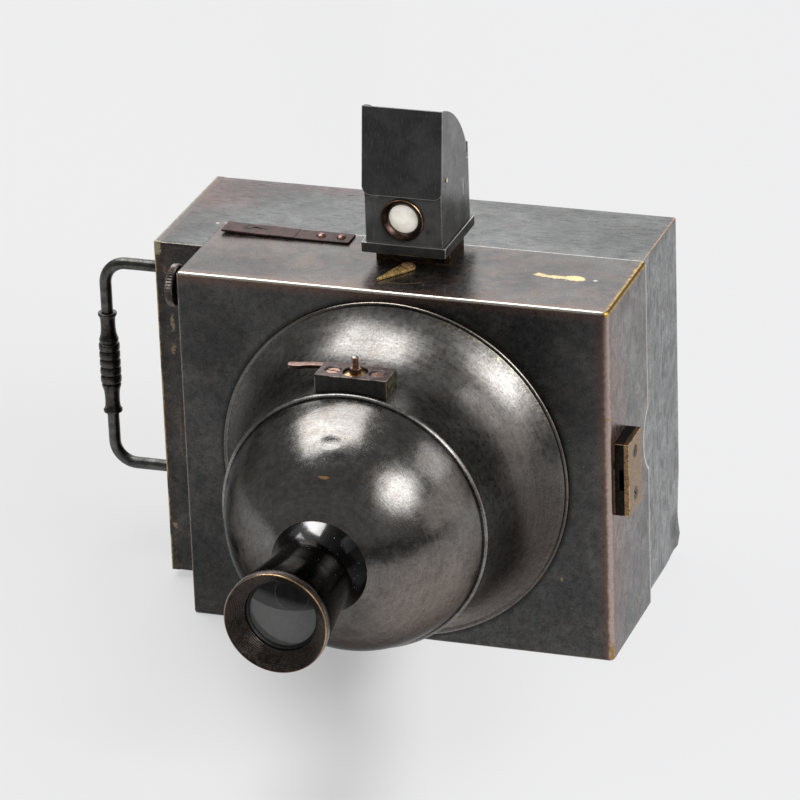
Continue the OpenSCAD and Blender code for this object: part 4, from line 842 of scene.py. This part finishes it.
def lathe(name, prof, mat, n=192, centre=(0, AX), axis="y", closed=True, warp=None, sharp=32):
    """Turned part. prof: (radius, along) points in mm; centre: the other two coordinates."""
    vs, fs, rings = [], [], []
    for r, h in prof:
        if r < 1e-6:
            rings.append([len(vs)])
            vs.append((0, h, 0))
        else:
            rings.append(list(range(len(vs), len(vs) + n)))
            for k in range(n):
                a = 2 * math.pi * k / n
                vs.append((r * math.cos(a), h, r * math.sin(a)))
    m = len(prof)
    for i in range(m if closed else m - 1):
        a, b = rings[i], rings[(i + 1) % m]
        if len(a) == 1 and len(b) == 1:
            continue
        for k in range(n):
            k2 = (k + 1) % n
            if len(a) == 1:
                fs.append((a[0], b[k2], b[k]))
            elif len(b) == 1:
                fs.append((a[k], a[k2], b[0]))
            else:
                fs.append((a[k], a[k2], b[k2], b[k]))
    out = []
    for x, y, z in vs:
        if warp is not None:
            x, y, z = warp(x, y, z)
        if axis == "y":
            out.append((x + centre[0], y, z + centre[1]))
        elif axis == "x":
            out.append((y, x + centre[0], z + centre[1]))
        else:
            out.append((x + centre[0], z + centre[1], y))
    o = fix_normals(make(name, out, fs, mat))
    return sharpen(o, sharp)


def from_cad(name, node, mat, width=0.2, seg=2, angle=30, tweak=None, cuts=0.0):
    """A copy of a CAD solid with its arrises broken."""
    me = nodes[node].data.copy()
    me.name = name
    me.materials.clear()
    me.materials.append(mat)
    bm = bmesh.new()
    bm.from_mesh(me)
    bmesh.ops.remove_doubles(bm, verts=bm.verts, dist=3e-6)
    bmesh.ops.dissolve_limit(bm, angle_limit=math.radians(0.8), verts=bm.verts, edges=bm.edges, delimit=set())
    bmesh.ops.recalc_face_normals(bm, faces=bm.faces)
    if width:
        es = [e for e in bm.edges if len(e.link_faces) == 2 and e.calc_face_angle(0) > math.radians(angle)]
        bmesh.ops.bevel(bm, geom=es, offset=width * MM, offset_type="OFFSET", segments=seg, profile=0.5,
                        affect="EDGES", clamp_overlap=True)
    if cuts:
        bmesh.ops.triangulate(bm, faces=[f for f in bm.faces if len(f.verts) > 4])
        for _ in range(6):
            long = [e for e in bm.edges if e.calc_length() > cuts * MM]
            if not long:
                break
            bmesh.ops.subdivide_edges(bm, edges=long, cuts=1, use_grid_fill=True)
            bmesh.ops.triangulate(bm, faces=[f for f in bm.faces if len(f.verts) > 4])
    if tweak is not None:
        for v in bm.verts:
            v.co = Vector([c * MM for c in tweak(*[q / MM for q in v.co])])
    for f in bm.faces:
        f.smooth = True
        f.material_index = 0
    for e in bm.edges:
        if len(e.link_faces) == 2:
            e.smooth = e.calc_face_angle(0) < math.radians(38)
    bm.to_mesh(me)
    bm.free()
    o = bpy.data.objects.new(name, me)
    scene.collection.objects.link(o)
    if "custom_normal" in me.attributes:
        me.attributes.remove(me.attributes["custom_normal"])
    weighted(o)
    return o


def block_bm(x0, x1, y0, y1, z0, z1):
    bm = bmesh.new()
    vs = [bm.verts.new((x * MM, y * MM, z * MM)) for x in (x0, x1) for y in (y0, y1) for z in (z0, z1)]
    for f in ((0, 1, 3, 2), (4, 6, 7, 5), (0, 4, 5, 1), (2, 3, 7, 6), (0, 2, 6, 4), (1, 5, 7, 3)):
        bm.faces.new([vs[i] for i in f])
    bmesh.ops.recalc_face_normals(bm, faces=bm.faces)
    return bm


def bm_object(name, bm, mat=None):
    me = bpy.data.meshes.new(name)
    bm.to_mesh(me)
    bm.free()
    o = bpy.data.objects.new(name, me)
    scene.collection.objects.link(o)
    if mat is not None:
        me.materials.append(mat)
    return o


def cutter(bm):
    return bm_object("cutter", bm)


def cyl_bm(r, h0, h1, cx, cy, cz, axis, n=96):
    bm = bmesh.new()
    bmesh.ops.create_cone(bm, cap_ends=True, segments=n, radius1=r * MM, radius2=r * MM, depth=(h1 - h0) * MM)
    rot = {"x": Matrix.Rotation(math.pi / 2, 4, "Y"), "y": Matrix.Rotation(math.pi / 2, 4, "X"), "z": Matrix.Identity(4)}[axis]
    mid = (h0 + h1) / 2
    off = {"x": (mid, cy, cz), "y": (cx, mid, cz), "z": (cx, cy, mid)}[axis]
    bmesh.ops.transform(bm, matrix=Matrix.Translation(Vector(off) * MM) @ rot, verts=bm.verts)
    return bm


def cut(o, cutters):
    """Boolean difference, applied."""
    for c in cutters:
        m = o.modifiers.new("cut", "BOOLEAN")
        m.operation = "DIFFERENCE"
        m.solver = "EXACT"
        m.object = c
    dg = bpy.context.evaluated_depsgraph_get()
    me = bpy.data.meshes.new_from_object(o.evaluated_get(dg))
    o.modifiers.clear()
    old = o.data
    o.data = me
    bpy.data.meshes.remove(old)
    for c in cutters:
        d = c.data
        bpy.data.objects.remove(c)
        bpy.data.meshes.remove(d)
    return o


def place(o, body, slot, *replaced):
    if replaced:
        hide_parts(*replaced)
    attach(o, body)
    return o


def bevelled_block(x0, x1, y0, y1, z0, z1, w, seg=3, pick=None):
    bm = block_bm(x0, x1, y0, y1, z0, z1)
    es = [e for e in bm.edges if pick is None or pick(*[(a + b) / 2 / MM for a, b in zip(e.verts[0].co, e.verts[1].co)])]
    bmesh.ops.bevel(bm, geom=es, offset=w * MM, offset_type="OFFSET", segments=seg, profile=0.5, affect="EDGES", clamp_overlap=True)
    return bm


# ------------------------------------------------------------ front box
bm = bevelled_block(-75, 75, YF, YB, 0, 126.7, 1.9, 5, pick=lambda x, y, z: x > 74 and y < YF + 0.5 and 1 < z < 126)
bmesh.ops.bevel(bm, geom=[e for e in bm.edges if e.calc_face_angle(0) > 1.2 and sum(v.co.y for v in e.verts) / 2 < (YB - 0.5) * MM],
                offset=1.2 * MM, offset_type="OFFSET", segments=4, profile=0.5, affect="EDGES", clamp_overlap=True)
front_box = bm_object("front_box", bm, M["body"])
cut(front_box, [cutter(block_bm(-74.2, 74.2, YF + 0.8, YB + 5, 0.8, 125.9)),
                cutter(block_bm(-80, -73, 12.2, YB + 5, 0.8, 125.9)),
                cutter(cyl_bm(52, YF - 2, YF + 3, 0, 0, AX, "y", 128)),
                cutter(cyl_bm(14, 73, 77, 0, YB + 8.4, 62.8, "x", 128)),
                cutter(cyl_bm(8.7, -1, 2, 0, 0, 0, "z", 64))])
sharpen(front_box, 35)
weighted(front_box)
place(front_box, "camera", "black_lacquer", "body_shell")

# ------------------------------------------------------------- magazine
def crumple(o):
    """The lower back right corner has been knocked: the sheet bulges and a flap stands out."""
    bm = bmesh.new()
    bm.from_mesh(o.data)
    geo = lambda: bm.verts[:] + bm.edges[:] + bm.faces[:]
    for co, no in [((0, 0.050 + 0.0043 * i, 0), (0, 1, 0)) for i in range(6)] + \
                  [((0, 0, 0.004 + 0.004 * i), (0, 0, 1)) for i in range(8)]:
        bmesh.ops.bisect_plane(bm, geom=geo(), plane_co=co, plane_no=no)
    for v in bm.verts:
        x, y, z = [c / MM for c in v.co]
        if x > 72:
            w = max(0.0, 1 - math.hypot((75.8 - y) / 22, (8 - z) / 26))
            w = w * w * (3 - 2 * w)
            n = noise.noise(Vector((y * 0.11, z * 0.13, 4.2)))
            v.co.x += (-0.8 * w + 0.7 * w * n) * MM
            k = max(0.0, 1 - math.hypot((75.8 - y) / 5, (7.5 - z) / 6))
            v.co.x += 1.2 * k * MM
            v.co.y -= 1.2 * w * MM * max(0.0, (y - 70) / 6)
    bm.to_mesh(o.data)
    bm.free()


bm = bevelled_block(-89.9, 73.5, 13.2, 75.8, 2.6, 125.8, 0.55, 2, pick=lambda x, y, z: x > -89)
magazine = bm_object("magazine_box", bm, M["mag"])
cut(magazine, [cutter(block_bm(-95, 72.7, 14.0, 75.0, 3.4, 125.0)),
               cutter(block_bm(-59, 59, 10, 14.5, AX - 44.5, AX + 44.5))])
crumple(magazine)
sharpen(magazine, 35)
weighted(magazine)
place(magazine, "magazine", "magazine_lacquer", "magazine_case")

drawer = from_cad("drawer_end", "drawer_front", M["drawer"], 0.45, 2)
place(drawer, "drawer", "drawer_lacquer", "drawer_front")

# ----------------------------------------------------------------- bell
def arc_profile(off=0.0, n=56):
    out = []
    for i in range(n + 1):
        u = (i / n) ** 0.7
        a = math.atan(3.7 * 14.8 / 42.1 * u ** 2.7)
        out.append((45.8 + 14.8 * u ** 3.7 - off * math.cos(a), LIP + 42.1 * u + off * math.sin(a)))
    return out


def bell_warp(x, y, z):
    r = math.hypot(x, z)
    k = max(0.0, min(1.0, (YF - 1.5 - y) / 6)) * max(0.0, min(1.0, (y - LIP - 1) / 6))
    n = noise.noise(Vector((x * 0.028, y * 0.05, z * 0.028)) + Vector((3, 1, 9)))
    n2 = noise.noise(Vector((x * 0.07, y * 0.09, z * 0.07)))
    d = k * (0.16 * n + 0.05 * n2)
    return x * (1 + d / r), y, z * (1 + d / r)


outer = arc_profile(0.0)
inner = arc_profile(0.8)
prof = outer[:-2]
# rolled bead at the foot
bead = [(60.05 + 0.62 * math.cos(a), YF - 0.66 + 0.62 * math.sin(a)) for a in
        [math.radians(t) for t in range(-110, 91, 20)]]
prof += bead + [(60.05, YF - 0.02), (52.3, YF - 0.02), (52.3, YF - 0.8), (58.6, YF - 0.8)] + [p for p in inner[::-1] if p[0] < 58.2 and p[1] > LIP]
prof += [(45.0, LIP)]
bell = lathe("bell_spun", prof, M["bell"], n=288, warp=bell_warp)
place(bell, "camera", "spun_gunmetal", "bell")

lip = lathe("lip_bead", [(44.36, LIP - 1.42), (44.62, LIP - 1.56), (45.05, LIP - 1.62), (45.45, LIP - 1.35), (45.72, LIP - 0.95), (45.8, LIP - 0.5),
                         (45.78, LIP - 0.1), (45.6, LIP), (44.78, LIP)], M["lip"], n=288)
place(lip, "camera", "spun_gunmetal", "lip_ring")

# ----------------------------------------------------------------- ball
def ball_warp(x, y, z):
    v = Vector((x, y - YC, z))
    r = v.length
    n = noise.noise(v * 0.045 + Vector((2, 5, 1)))
    n2 = noise.noise(v * 0.11 + Vector((7, 5, 1)))
    edge = max(0.0, min(1.0, (-57.5 - y) / 5)) * max(0.0, min(1.0, (math.hypot(x, z) - 17) / 5))
    d = (0.14 * n + 0.035 * n2) * edge - 0.1 * edge
    # a shallow knock high on the left of the ball
    for c, rad, dep in DENTS:
        q = (v.normalized() * 45.2 - c).length / rad
        if q < 1:
            d -= dep * (1 - q * q) ** 2
    return x * (1 + d / r), YC + (y - YC) * (1 + d / r), z * (1 + d / r)


DENTS = []
def on_ball(px, py, pz):
    v = Vector((px, py - YC, pz - AX)).normalized() * 45.2
    return v


DENTS.append((on_ball(-18.5, -75.5, 91.5), 5.5, 0.30))
DENTS.append((on_ball(-14.0, -77.0, 92.5), 3.6, 0.14))
p0 = math.asin(10.6 / 45.2)
p1 = math.acos((YC - LIP) / 45.2)
prof = [(45.2 * math.sin(p0 + (p1 - p0) * i / 96), YC - 45.2 * math.cos(p0 + (p1 - p0) * i / 96)) for i in range(97)]
prof += [(44.73, LIP + 4), (43.95, LIP + 4)]
prof += [(44.4 * math.sin(p0 + (p1 - p0) * (1 - i / 40)), YC - 44.4 * math.cos(p0 + (p1 - p0) * (1 - i / 40))) for i in range(41)]
ball = lathe("ball_spun", prof, M["ball"], n=288, warp=ball_warp)
place(ball, "camera", "spun_gunmetal", "ball_front")

# ------------------------------------------------------------ barrel, hood
FOOT = YC - math.sqrt(45.2 ** 2 - 16.3 ** 2)
HOOD = -133.2
BF = HOOD + 7.4
MOUTH, WAIST = HOOD + 3.5, -102.4
prof = [(r, YC - math.sqrt(45.15 ** 2 - r * r)) for r in (10.6, 12.0, 13.4, 14.8, 15.9)]
prof += [(16.26, FOOT + 0.1), (16.3, FOOT - 0.02), (16.28, FOOT - 0.2)]
for i in range(61):
    y = FOOT - 0.3 + (-113.0 - FOOT + 0.3) * i / 60
    k = (y - WAIST) / (FOOT - 0.3 - WAIST)
    flare = 13.5 + 2.74 * (0.45 * k + 0.55 * k * abs(k)) if k > 0 else 13.5 + 1.0 * k
    cone = 13.5 - (y - WAIST) * 0.126
    prof.append(((flare + cone) / 2 + math.sqrt(((flare - cone) / 2) ** 2 + 0.09), y))
prof += [(15.3, -115.8), (16.9, MOUTH + 0.5), (16.93, MOUTH + 0.15), (16.8, MOUTH + 0.02), (15.2, MOUTH + 0.02), (15.2, BF), (12.0, BF),
         (12.0, BF + 4.4), (10.6, BF + 4.4), (10.6, FOOT - 8.4), (9.6, FOOT - 8.4), (9.6, FOOT - 7.4), (10.6, FOOT - 7.4)]
barrel = lathe("barrel_enamelled", prof, M["enamel"], n=224, sharp=9)
place(barrel, "camera", "black_enamel", "lens_barrel")

prof = [(16.9, HOOD + 0.02), (17.08, HOOD + 0.12), (17.2, HOOD + 0.4), (17.2, MOUTH - 0.35), (17.12, MOUTH - 0.12), (16.95, MOUTH - 0.03),
        (15.15, MOUTH - 0.03), (15.15, BF - 0.03), (12.1, BF - 0.03), (12.1, HOOD + 5.75)]
NG = 11
for i in range(NG):
    f0, f1 = i / NG, (i + 1) / NG
    ra, rb = 12.1 + 4.6 * f0, 12.1 + 4.6 * f1
    ya, yb = HOOD + 5.75 - 5.45 * f0, HOOD + 5.75 - 5.45 * f1
    prof += [(ra + 0.04, ya - 0.05), (ra + 0.26 * (rb - ra), ya - 0.42 * (ya - yb) - 0.03), (ra + 0.55 * (rb - ra), yb + 0.26), (rb - 0.07, yb + 0.2), (rb, yb + 0.04)]
prof += [(16.75, HOOD + 0.12)]
hood = lathe("hood_turned", prof, M["hood"], n=224, sharp=24)
place(hood, "camera", "bronzed_hood", "lens_hood")


def lens_prof(y0, y1, rr, rc, n=28):
    s = 1 if y1 > y0 else -1
    p = [(rr * i / n, y0 + s * (rc - math.sqrt(rc * rc - (rr * i / n) ** 2))) for i in range(n + 1)]
    return p + [(rr, y1), (0.0, y1)]


fl = lathe("front_element", lens_prof(BF - 0.4, BF + 4.35, 11.9, 80), M["front_glass"], n=128, closed=False)
place(fl, "camera", "optical_glass", "front_lens")
rl = lathe("rear_element", lens_prof(FOOT - 3.5, FOOT - 7.35, 10.5, 34), M["glass"], n=128, closed=False)
place(rl, "camera", "optical_glass", "rear_lens")
ring = lathe("front_retainer", [(11.95, BF - 0.88), (11.75, BF - 0.9), (11.6, BF - 0.8), (11.3, BF - 0.35), (11.22, BF - 0.15), (11.22, BF + 0.34),
                                (11.95, BF + 0.45)], M["matt"], n=160)
place(ring, "camera", "matt_black", "front_lens_ring")

# ------------------------------------------------------------- block etc.
blk = from_cad("arbor_block_worn", "arbor_block", M["block"], 0.16, 2)
place(blk, "camera", "block_brass", "arbor_block")
lev = from_cad("release_lever_filed", "release_lever", M["lever"], 0.3, 3)
place(lev, "release", "lever_copper", "release_lever")
scr = from_cad("block_screws", "arbor_block_screws", M["screw"], 0.08, 2)
place(scr, "camera", "copper_screws", "arbor_block_screws")
dsc = from_cad("disc_worn", "shutter_disc", M["disc"], 0.12, 2)
place(dsc, "shutter", "arbor_bronze", "shutter_disc")

# arbor with a cut thread and a small dog on its end
prof = [(0.0, 118.55), (0.75, 118.58), (1.02, 118.4)]
y = 118.2
while y > 113.6:
    prof += [(1.2, y), (1.2, y - 0.12), (0.98, y - 0.3), (0.98, y - 0.38)]
    y -= 0.5
prof += [(1.2, 113.4), (1.2, 112.56), (3.68, 112.54), (3.8, 112.44), (3.8, 111.8), (3.7, 111.7), (1.98, 111.7), (1.98, 95.6), (0.0, 95.6)]
arb = lathe("arbor_threaded", prof, M["bronze"], n=48, centre=(0, YC), axis="z", closed=False, sharp=40)
hexa = lathe("arbor_six_sided", [(0.0, 112.51), (1.95, 112.51), (2.0, 112.6), (2.0, 114.4), (1.8, 114.68), (0.0, 114.7)], M["bronze"], n=6,
             centre=(0, YC), axis="z", closed=False, sharp=20)
hexa.data.transform(Matrix.Translation((0, YC * MM, 0)) @ Matrix.Rotation(math.radians(10), 4, "Z") @ Matrix.Translation((0, -YC * MM, 0)))
place(arb, "shutter", "arbor_bronze", "shutter_arbor")
place(hexa, "shutter", "arbor_bronze", "shutter_arbor")

pt = from_cad("pointer_worn", "selector_lever", M["pointer"], 0.16, 2)
place(pt, "pointer", "pointer_brass", "selector_lever")
ps = from_cad("pointer_screw_worn", "selector_screw", M["pscrew"], 0.12, 2)
place(ps, "camera", "pointer_brass", "selector_screw")

# knob: knurled rim, dished face
KY, KZ = -4.0, 118.0
vs, fs = [], []
prof = [(0.0, -79.75), (4.9, -79.75), (5.5, -80.1), (6.3, -80.28), (6.85, -80.2), (7.12, -79.95), (7.25, -79.6),
        (7.25, -78.05), (7.12, -77.7), (6.8, -77.45), (2.0, -77.42), (2.0, -66.0), (0.0, -66.0)]
KN, SUB = 44, 6
n = KN * SUB
for r, h in prof:
    for k in range(n):
        a = 2 * math.pi * k / n
        tooth = abs(((k / SUB) % 1.0) * 2 - 1)
        rr = r - (0.32 * tooth if r > 6.5 else 0.0)
        vs.append((h, KY + rr * math.cos(a), KZ + rr * math.sin(a)))
for i in range(len(prof) - 1):
    for k in range(n):
        k2 = (k + 1) % n
        fs.append((i * n + k, i * n + k2, (i + 1) * n + k2, (i + 1) * n + k))
kb = make("knob_knurled", vs, fs, M["knob"])
bm = bmesh.new()
bm.from_mesh(kb.data)
bmesh.ops.remove_doubles(bm, verts=bm.verts, dist=1e-6)
bmesh.ops.recalc_face_normals(bm, faces=bm.faces)
bm.to_mesh(kb.data)
bm.free()
sharpen(kb, 30)
place(kb, "knob", "knob_brass", "knob")


def rag(x, y, z):
    n = noise.noise(Vector((x * 0.16, y * 0.3, 1.7)))
    n2 = noise.noise(Vector((x * 0.55, y * 0.5, 5.7)))
    side = (y - 27.3) / 4.0
    y += side * (0.10 * n2 - 0.12 + 0.22 * n)
    up = 0.0
    if abs(x + 46) < 0.3:
        x = -46.0
    if x < -46:
        t = (-46 - x) / 26
        up = 0.5 * t * t + 0.12 * n * t
    return x, y, z + up + 0.05 * n


leaf = from_cad("catch_leaf_rusty", "catch_leaf", M["rust"], 0.12, 1, tweak=rag, cuts=2.2)
place(leaf, "catch", "rusty_spring", "catch_leaf")
root = from_cad("catch_root_rusty", "catch_root", M["rust"], 0.12, 1, tweak=rag, cuts=2.2)
place(root, "camera", "rusty_spring", "catch_root")
rv = from_cad("catch_rivets_domed", "catch_rivets", M["rivet"], 0.1, 2)
place(rv, "camera", "rusty_spring", "catch_rivets")

# ----------------------------------------------------------------- shoes
for name, node, mat, slot, w in (
        ("side_shoe_worn", "side_shoe", "shoe_base", "shoe_brass", 0.22),
        ("side_shoe_plate", "side_shoe_cover", "shoe_cover", "shoe_brass", 0.22),
        ("side_shoe_heads", "side_shoe_screws", "shoe_screw", "shoe_brass", 0.08),
        ("top_shoe_worn", "top_shoe", "shoe_top", "shoe_brass", 0.22),
        ("top_shoe_plate", "top_shoe_cover", "shoe_top", "shoe_brass", 0.22),
        ("top_shoe_heads", "top_shoe_screws", "shoe_screw", "shoe_brass", 0.08)):
    o = from_cad(name, node, M[mat], w, 2)
    place(o, "camera", slot, node)

# ---------------------------------------------------------------- finder
o = from_cad("finder_box", "finder_body", M["fbody"], 0.2, 2)
place(o, "finder", "finder_black", "finder_body")
o = from_cad("finder_foot", "finder_base", M["fbase"], 0.35, 2)
place(o, "finder", "finder_black", "finder_base")
o = from_cad("finder_hood_sheet", "finder_hood", M["fhood"], 0.12, 2)
place(o, "hood", "finder_black", "finder_hood")
FL = (-1.1, 144.5)
o = lathe("finder_ring_turned", [(5.15, 6.8 + 2.75), (5.15, 7.2), (5.25, 7.05), (6.42, 5.98), (6.6, 5.9), (7.2, 5.92), (7.4, 6.12), (7.4, 6.75),
                                 (6.0, 6.8), (5.88, 6.9), (5.88, 6.8 + 2.75)], M["fring"], n=128, centre=FL)
place(o, "finder", "finder_ring", "finder_lens_ring")
s = 12.0
prof = [(5.08 * i / 20, 7.08 + s - math.sqrt(s * s - (5.08 * i / 20) ** 2)) for i in range(21)] + [(5.08, 9.58), (0.0, 9.58)]
o = lathe("finder_lens_turned", prof, M["flens"], n=96, centre=FL, closed=False)
place(o, "finder", "finder_glass", "finder_lens")
M["pin"] = simple("pin_brass", (0.55, 0.45, 0.28), (0.78, 0.68, 0.50), 1.0, 0.24, 1.0, 0.05)
o = from_cad("finder_pins_turned", "finder_pins", M["pin"], 0.1, 2)
place(o, "finder", "raw_brass", "finder_pins")

# ---------------------------------------------------------------- handle
def tube(name, path, r, mat, n=32):
    """Round bar along a list of points, closed with flat caps at its ends."""
    vs, fs = [], []
    up = Vector((0, 1, 0))
    pts = [Vector(p) for p in path]
    for i, p in enumerate(pts):
        d = (pts[min(i + 1, len(pts) - 1)] - pts[max(i - 1, 0)]).normalized()
        u = up - d * up.dot(d)
        u.normalize()
        w = d.cross(u)
        rr = r * (1 + 0.018 * noise.noise(p * 0.12))
        for k in range(n):
            a = 2 * math.pi * k / n
            q = p + (u * math.cos(a) + w * math.sin(a)) * rr
            vs.append(tuple(q))
    for i in range(len(pts) - 1):
        for k in range(n):
            k2 = (k + 1) % n
            fs.append((i * n + k, i * n + k2, (i + 1) * n + k2, (i + 1) * n + k))
    fs.append(tuple(range(n)))
    fs.append(tuple(range((len(pts) - 1) * n, len(pts) * n)))
    return fix_normals(make(name, vs, fs, mat))


HX, HY, HB = -124.3, 44.5, 8.0
path = []
x = -90.0
path.append((-90.0, HY, 103.0))
for i in range(13):
    path.append((-92.7 + (HX + HB + 92.7) * i / 12, HY, 103.0))
for i in range(1, 17):
    a = math.pi / 2 * i / 16
    path.append((HX + HB - HB * math.sin(a), HY, 103.0 - HB + HB * math.cos(a)))
for i in range(1, 26):
    path.append((HX, HY, 95.0 - 60.0 * i / 26))
for i in range(0, 17):
    a = math.pi / 2 * i / 16
    path.append((HX + HB - HB * math.cos(a), HY, 35.0 - HB * math.sin(a)))
for i in range(1, 13):
    path.append((HX + HB + (-92.7 - HX - HB) * i / 12, HY, 27.0))
path.append((-90.0, HY, 27.0))
rod = tube("handle_bar", path, 2.1, M["handle"], 36)
place(rod, "drawer", "handle_steel", "handle_rod")

gp = [(2.1, 46.0), (2.9, 46.0), (3.25, 46.15), (3.35, 46.5), (3.35, 47.0), (3.1, 47.3), (2.72, 48.2), (2.6, 50.0), (2.62, 52.0), (2.8, 54.0), (3.15, 55.4),
      (3.4, 56.0), (3.45, 56.5), (3.35, 56.9), (2.85, 57.0), (2.8, 57.25)]
for i in range(5):
    z0 = 57.35 + i * 3.06
    gp += [(2.95, z0), (3.4, z0 + 0.12), (3.66, z0 + 0.45), (3.7, z0 + 0.9), (3.7, z0 + 1.95), (3.62, z0 + 2.4), (3.35, z0 + 2.72), (2.95, z0 + 2.82), (2.9, z0 + 2.95)]
gp += [(2.85, 73.0), (3.35, 73.1), (3.45, 73.5), (3.4, 74.0), (3.15, 74.6), (2.8, 76.0), (2.62, 78.0), (2.6, 80.0), (2.72, 81.8), (3.1, 82.7), (3.35, 83.0),
       (3.35, 83.5), (3.25, 83.85), (2.9, 84.0), (2.1, 84.0)]
gr = lathe("handle_grip_turned", gp, M["grip"], n=96, centre=(HX, HY), axis="z", sharp=50)
place(gr, "drawer", "handle_steel", "handle_grip")

# ----------------------------------------- carried-over CAD nodes' finishes
keep = {"channel_frame": "matt", "channel_runners": "brass", "tripod_bush": "brass", "bell_screws": "brass",
        "diaphragm_stop": "matt", "rear_lens_ring": "matt", "shutter_lower_pivot": "bronze", "shutter_spring": "spring",
        "spring_bracket": "brass", "shutter_shell": "matt", "knob_bush": "matt", "finder_mirror": "mirror",
        "finder_screen": "screen", "drawer_tray": "tin", "plate_guides": "matt", "plate_sheaths": "tin",
        "glass_plates": "plate_glass", "pressure_plate": "brass", "pressure_springs": "spring", "handle_collars": "brass"}
for node, key in keep.items():
    o = nodes[node]
    if not o.data.materials:
        o.data.materials.append(M[key])
    for i in range(len(o.material_slots)):
        o.material_slots[i].material = M[key]

# --------------------------------------------------------- floor and light
FLOOR_LIGHT = 1.50
me = bpy.data.meshes.new("floor")
me.from_pydata([(-6, -6, 0), (6, -6, 0), (6, 6, 0), (-6, 6, 0)], [], [(0, 1, 2, 3)])
floor = bpy.data.objects.new("floor", me)
scene.collection.objects.link(floor)
g = Mat("floor_paper", rough=0.75, spec=0.0)
# the sheet is evenly lit from below as well; it ends in the dark a little way in front of the camera
across = g.add(g.mul(g.X, 0.949), g.mul(g.Y, 0.313))
ahead = g.sub(g.mul(g.X, 0.325), g.mul(g.Y, 0.946))
alb = g.mul(g.mul(g.ramp(across, -85, -32, 0.22, 0.34), g.ramp(across, -28, 8, 1.0, 0.26)), g.ramp(across, 8, 60, 1.0, 0.42))
lit = g.ramp(ahead, 245, 300, 1.0, 0.10)
glow = g.sub(0.860, g.mul(alb, FLOOR_LIGHT))
g.put(g.b.inputs["Emission Color"], (1.0, 1.0, 1.012))
g.put(g.b.inputs["Emission Strength"], g.mul(glow, lit))
me.materials.append(g.done(g.tone((1.0, 1.0, 1.0), g.mul(alb, lit))))


def area(name, d, w, h, radiance, dist, aim=(0, -0.02, 0.06), turn=0.0, shape="RECTANGLE"):
    d = Vector(d).normalized()
    l = bpy.data.lights.new(name, "AREA")
    l.shape = shape
    l.size = w
    if shape == "RECTANGLE":
        l.size_y = h
    l.energy = radiance * math.pi * w * h * (1.0 if shape == "RECTANGLE" else math.pi / 4)
    ob = bpy.data.objects.new(name, l)
    scene.collection.objects.link(ob)
    ob.location = d * dist + Vector(aim)
    ob.rotation_euler = ((-d).to_track_quat("-Z", "Y").to_matrix() @ Matrix.Rotation(math.radians(turn), 3, "Z")).to_euler()
    return ob


area("overhead", (-0.355, 0.156, 0.920), 1.3, 1.3, 5.3, 1.7, turn=35)
area("right", (0.70, -0.41, 0.585), 0.8, 0.8, 5.5, 1.8, shape="DISK")
area("right_wide", (0.70, -0.41, 0.585), 1.3, 1.3, 2.2, 1.82, shape="DISK")
area("right_low", (0.975, 0.10, 0.16), 1.5, 0.9, 0.80, 1.9).data.color = (1.0, 0.93, 0.88)
area("right_back", (0.77, 0.28, 0.57), 0.8, 0.8, 2.0, 1.9)
area("back", (-0.30, 0.865, 0.42), 1.7, 0.95, 2.0, 2.0)

w = bpy.data.worlds.new("studio")
scene.world = w
w.use_nodes = True
bg = w.node_tree.nodes["Background"]
bg.inputs[0].default_value = (1.0, 1.0, 1.0, 1.0)
bg.inputs[1].default_value = 0.27

scene.view_settings.view_transform = "Standard"
scene.view_settings.look = "None"
scene.view_settings.exposure = 0.0
scene.view_settings.gamma = 1.0

# ---------------------------------------------------------------- camera
R = [[0.94917313, 0.31301072, -0.03308577], [0.09708275, -0.39113176, -0.91519991], [-0.29940828, 0.86547111, -0.4016397]]
C = (0.50748, -1.47238, 0.76553)
X, Y, Z = Vector(R[0]), -Vector(R[1]), -Vector(R[2])
cam = bpy.data.cameras.new("camera_view")
cam.lens = 228.63
cam.sensor_width = 36
cam.clip_start = 0.05
co = bpy.data.objects.new("camera_view", cam)
scene.collection.objects.link(co)
co.matrix_world = Matrix(((X.x, Y.x, Z.x, C[0]), (X.y, Y.y, Z.y, C[1]), (X.z, Y.z, Z.z, C[2]), (0, 0, 0, 1)))
scene.camera = co
